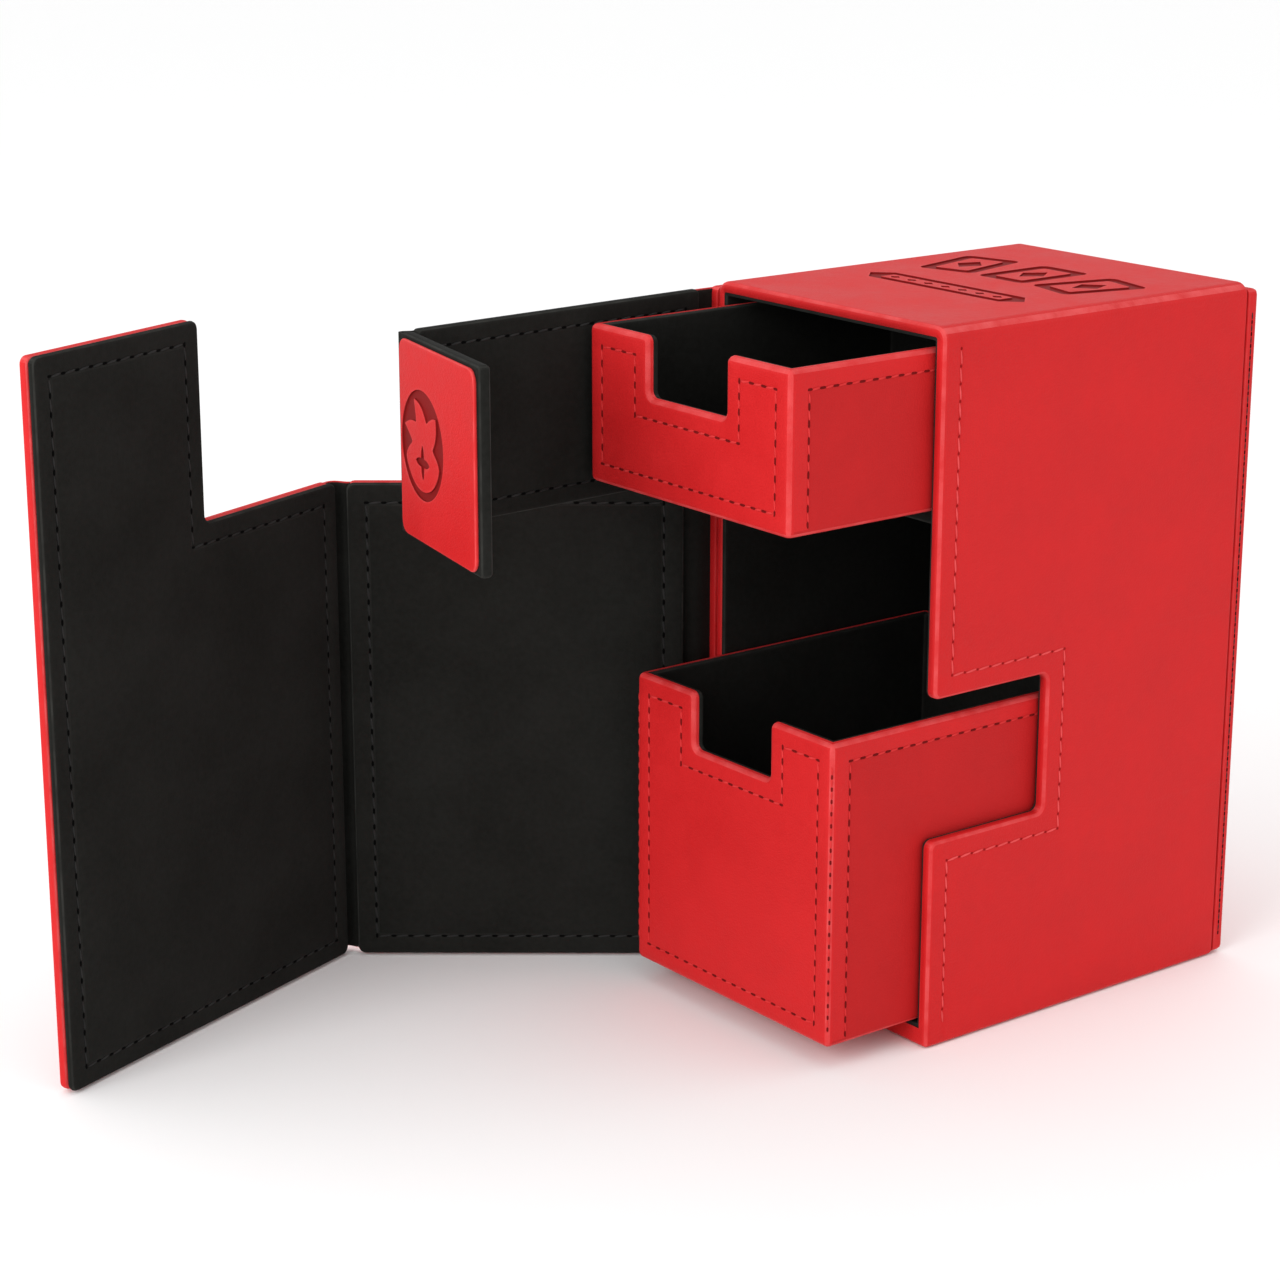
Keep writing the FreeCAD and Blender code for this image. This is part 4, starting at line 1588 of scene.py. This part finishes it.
@dataclass(frozen=True)
class DeckBox:
    """The whole box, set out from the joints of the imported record."""

    square: float = 90.0
    shoulder_gap: float = 4.0

    def build(self) -> None:
        """Builds every sub-assembly in order."""
        front, strap = Hinge.read("front_panel_hinge"), Hinge.read("strap_hinge")
        side, flap = Hinge.read("side_panel_hinge", front.opening), Hinge.read("flap_hinge", strap.opening)
        Case().build()
        FixedCover().build()
        Tray("lower_tray", corner_stitches=True).build()
        Tray("upper_tray").build()
        low, high = front.place.extent("front_panel_lining")
        Panel("front_panel", front.place, corners_of(low, high)).build()
        Panel("side_panel", side.place, self.side_outline(side.place, high.z), fold_sides=(-1.0,)).build()
        Strap(strap.place).build()
        Flap(flap.place).build()
        self.build_folds(front, side, strap, flap)
        self.dress_boards()

    def side_outline(self, place: Place, shoulder: float) -> list[Point]:
        """The outline of the side panel, whose far part stands taller than the front panel.

        Args:
            place: the panel's place.
            shoulder: height of its lower part.

        Returns:
            The corners.
        """
        low, high = place.extent("side_panel_lining")
        tall = shoulder + self.shoulder_gap
        step = min(p.x for p in place.points("side_panel_lining") if p.z > tall)
        return [(low.x, low.z), (high.x, low.z), (high.x, high.z), (step, high.z), (step, shoulder),
                (low.x, shoulder)]

    def build_folds(self, front: Hinge, side: Hinge, strap: Hinge, flap: Hinge) -> None:
        """Builds the four folds.

        Args:
            front: the front panel's hinge.
            side: the side panel's.
            strap: the strap's.
            flap: the flap's.
        """
        cover_end = ROW_PLACE.extent("cover_skin")[0].y
        before_side = (side.at.xy - front.at.xy).length - front.place.extent("front_panel_skin")[1].x
        before_flap = (flap.at.xy - strap.at.xy).length - strap.place.extent("strap_wrap")[1].x
        after_flap = flap.place.extent("flap_wrap")[0].x
        Fold("front_hinge", "shell", "front_panel", "front_hinge_strip", front, self.square,
             cover_end - front.at.y).build()
        Fold("side", "front_panel", "side_panel", "side_fold_strip", side, front.opening, before_side).build()
        Fold("strap_hinge", "shell", "strap", "strap_hinge_strip", strap, self.square,
             cover_end - strap.at.y).build()
        Fold("flap", "strap", "flap", "flap_fold_strip", flap, strap.opening, before_flap, after_flap,
             (0.9, 1.3), (1.3, 1.7), SUEDE).build()

    def dress_boards(self) -> None:
        """Gives the boards and magnets that stay from CAD their finishes."""
        for name, node in frame["nodes"].items():
            finish = NICKEL if "magnets" in name else GREYBOARD
            if not node.hide_render:
                node.data.materials.clear()
                node.data.materials.append(finish.material())


@dataclass(frozen=True)
class Lamp:
    """A soft square light: its name, place, the point it looks at, its side and its watts."""

    name: str
    place: Vector
    target: Vector
    size: float
    power: float

    def build(self) -> None:
        """Adds the light."""
        light = bpy.data.lights.new(self.name, "AREA")
        light.size = self.size
        light.energy = self.power
        aim(light, self.place, self.target - self.place)


def aim(data: bpy.types.ID, place: Vector, ahead: Vector) -> bpy.types.Object:
    """Adds a camera or a light.

    Args:
        data: the camera or light.
        place: where it stands.
        ahead: the way it looks.

    Returns:
        Its object.
    """
    made = bpy.data.objects.new(data.name, data)
    made.location = place
    made.rotation_mode = "QUATERNION"
    made.rotation_quaternion = ahead.to_track_quat("-Z", "Y")
    bpy.context.scene.collection.objects.link(made)
    return made


@dataclass(frozen=True)
class Stage:
    """Camera, soft lights and a pale floor."""

    eye: Vector = Vector((0.43718, -0.41955, 0.24265))
    azimuth: float = 52.6
    elevation: float = 16.15
    lens: float = 86.38
    sensor: float = 36.0
    clip_start: float = 0.01
    floor_size: float = 40.0
    floor_tone: float = 0.98
    floor_rough: float = 0.9
    sky: float = 1.0
    lamps: Sequence[Lamp] = (
        Lamp("key_light", Vector((0.22, -1.15, 0.58)), Vector((0.0, -0.05, 0.07)), 0.7, 6.6),
        Lamp("fill_light", Vector((-1.1, -0.6, 0.6)), Vector((0.0, 0.0, 0.07)), 0.8, 0.4),
        Lamp("top_light", Vector((0.0, 0.15, 1.3)), Vector((0.0, 0.0, 0.1)), 0.8, 0.3),
    )

    def build(self) -> None:
        """Builds the camera, lights, sky and floor."""
        self.build_camera()
        self.build_sky()
        self.build_floor()
        for lamp in self.lamps:
            lamp.build()

    def build_camera(self) -> None:
        """Sets the camera at its viewing angle."""
        azimuth, elevation = math.radians(self.azimuth), math.radians(self.elevation)
        level = (BACK * math.cos(azimuth) - RIGHT * math.sin(azimuth)) * math.cos(elevation)
        camera = aim(bpy.data.cameras.new("camera"), self.eye, level - UP * math.sin(elevation))
        camera.data.lens = self.lens
        camera.data.sensor_width = self.sensor
        camera.data.clip_start = self.clip_start
        bpy.context.scene.camera = camera

    def build_sky(self) -> None:
        """Sets an even white sky and a plain view transform."""
        world = bpy.data.worlds.new("studio")
        world.use_nodes = True
        background = world.node_tree.nodes["Background"]
        background.inputs["Color"].default_value = (1.0, 1.0, 1.0, 1.0)
        background.inputs["Strength"].default_value = self.sky
        bpy.context.scene.world = world
        bpy.context.scene.view_settings.view_transform = "Standard"

    def build_floor(self) -> None:
        """Lays the pale floor."""
        bm = bmesh.new()
        bmesh.ops.create_grid(bm, x_segments=2, y_segments=2, size=self.floor_size / 2)
        mesh = bpy.data.meshes.new("floor")
        bm.to_mesh(mesh)
        bm.free()
        paper = bpy.data.materials.new("pale_paper")
        paper.use_nodes = True
        shader = paper.node_tree.nodes["Principled BSDF"]
        shader.inputs["Base Color"].default_value = (self.floor_tone, self.floor_tone, self.floor_tone, 1.0)
        shader.inputs["Roughness"].default_value = self.floor_rough
        mesh.materials.append(paper)
        floor = bpy.data.objects.new("floor", mesh)
        bpy.context.scene.collection.objects.link(floor)


def main() -> None:
    """Builds the box and its stage."""
    logging.basicConfig(level=logging.INFO, format="%(message)s", force=True)
    Stage().build()
    DeckBox().build()


if __name__ == "__main__":
    main()
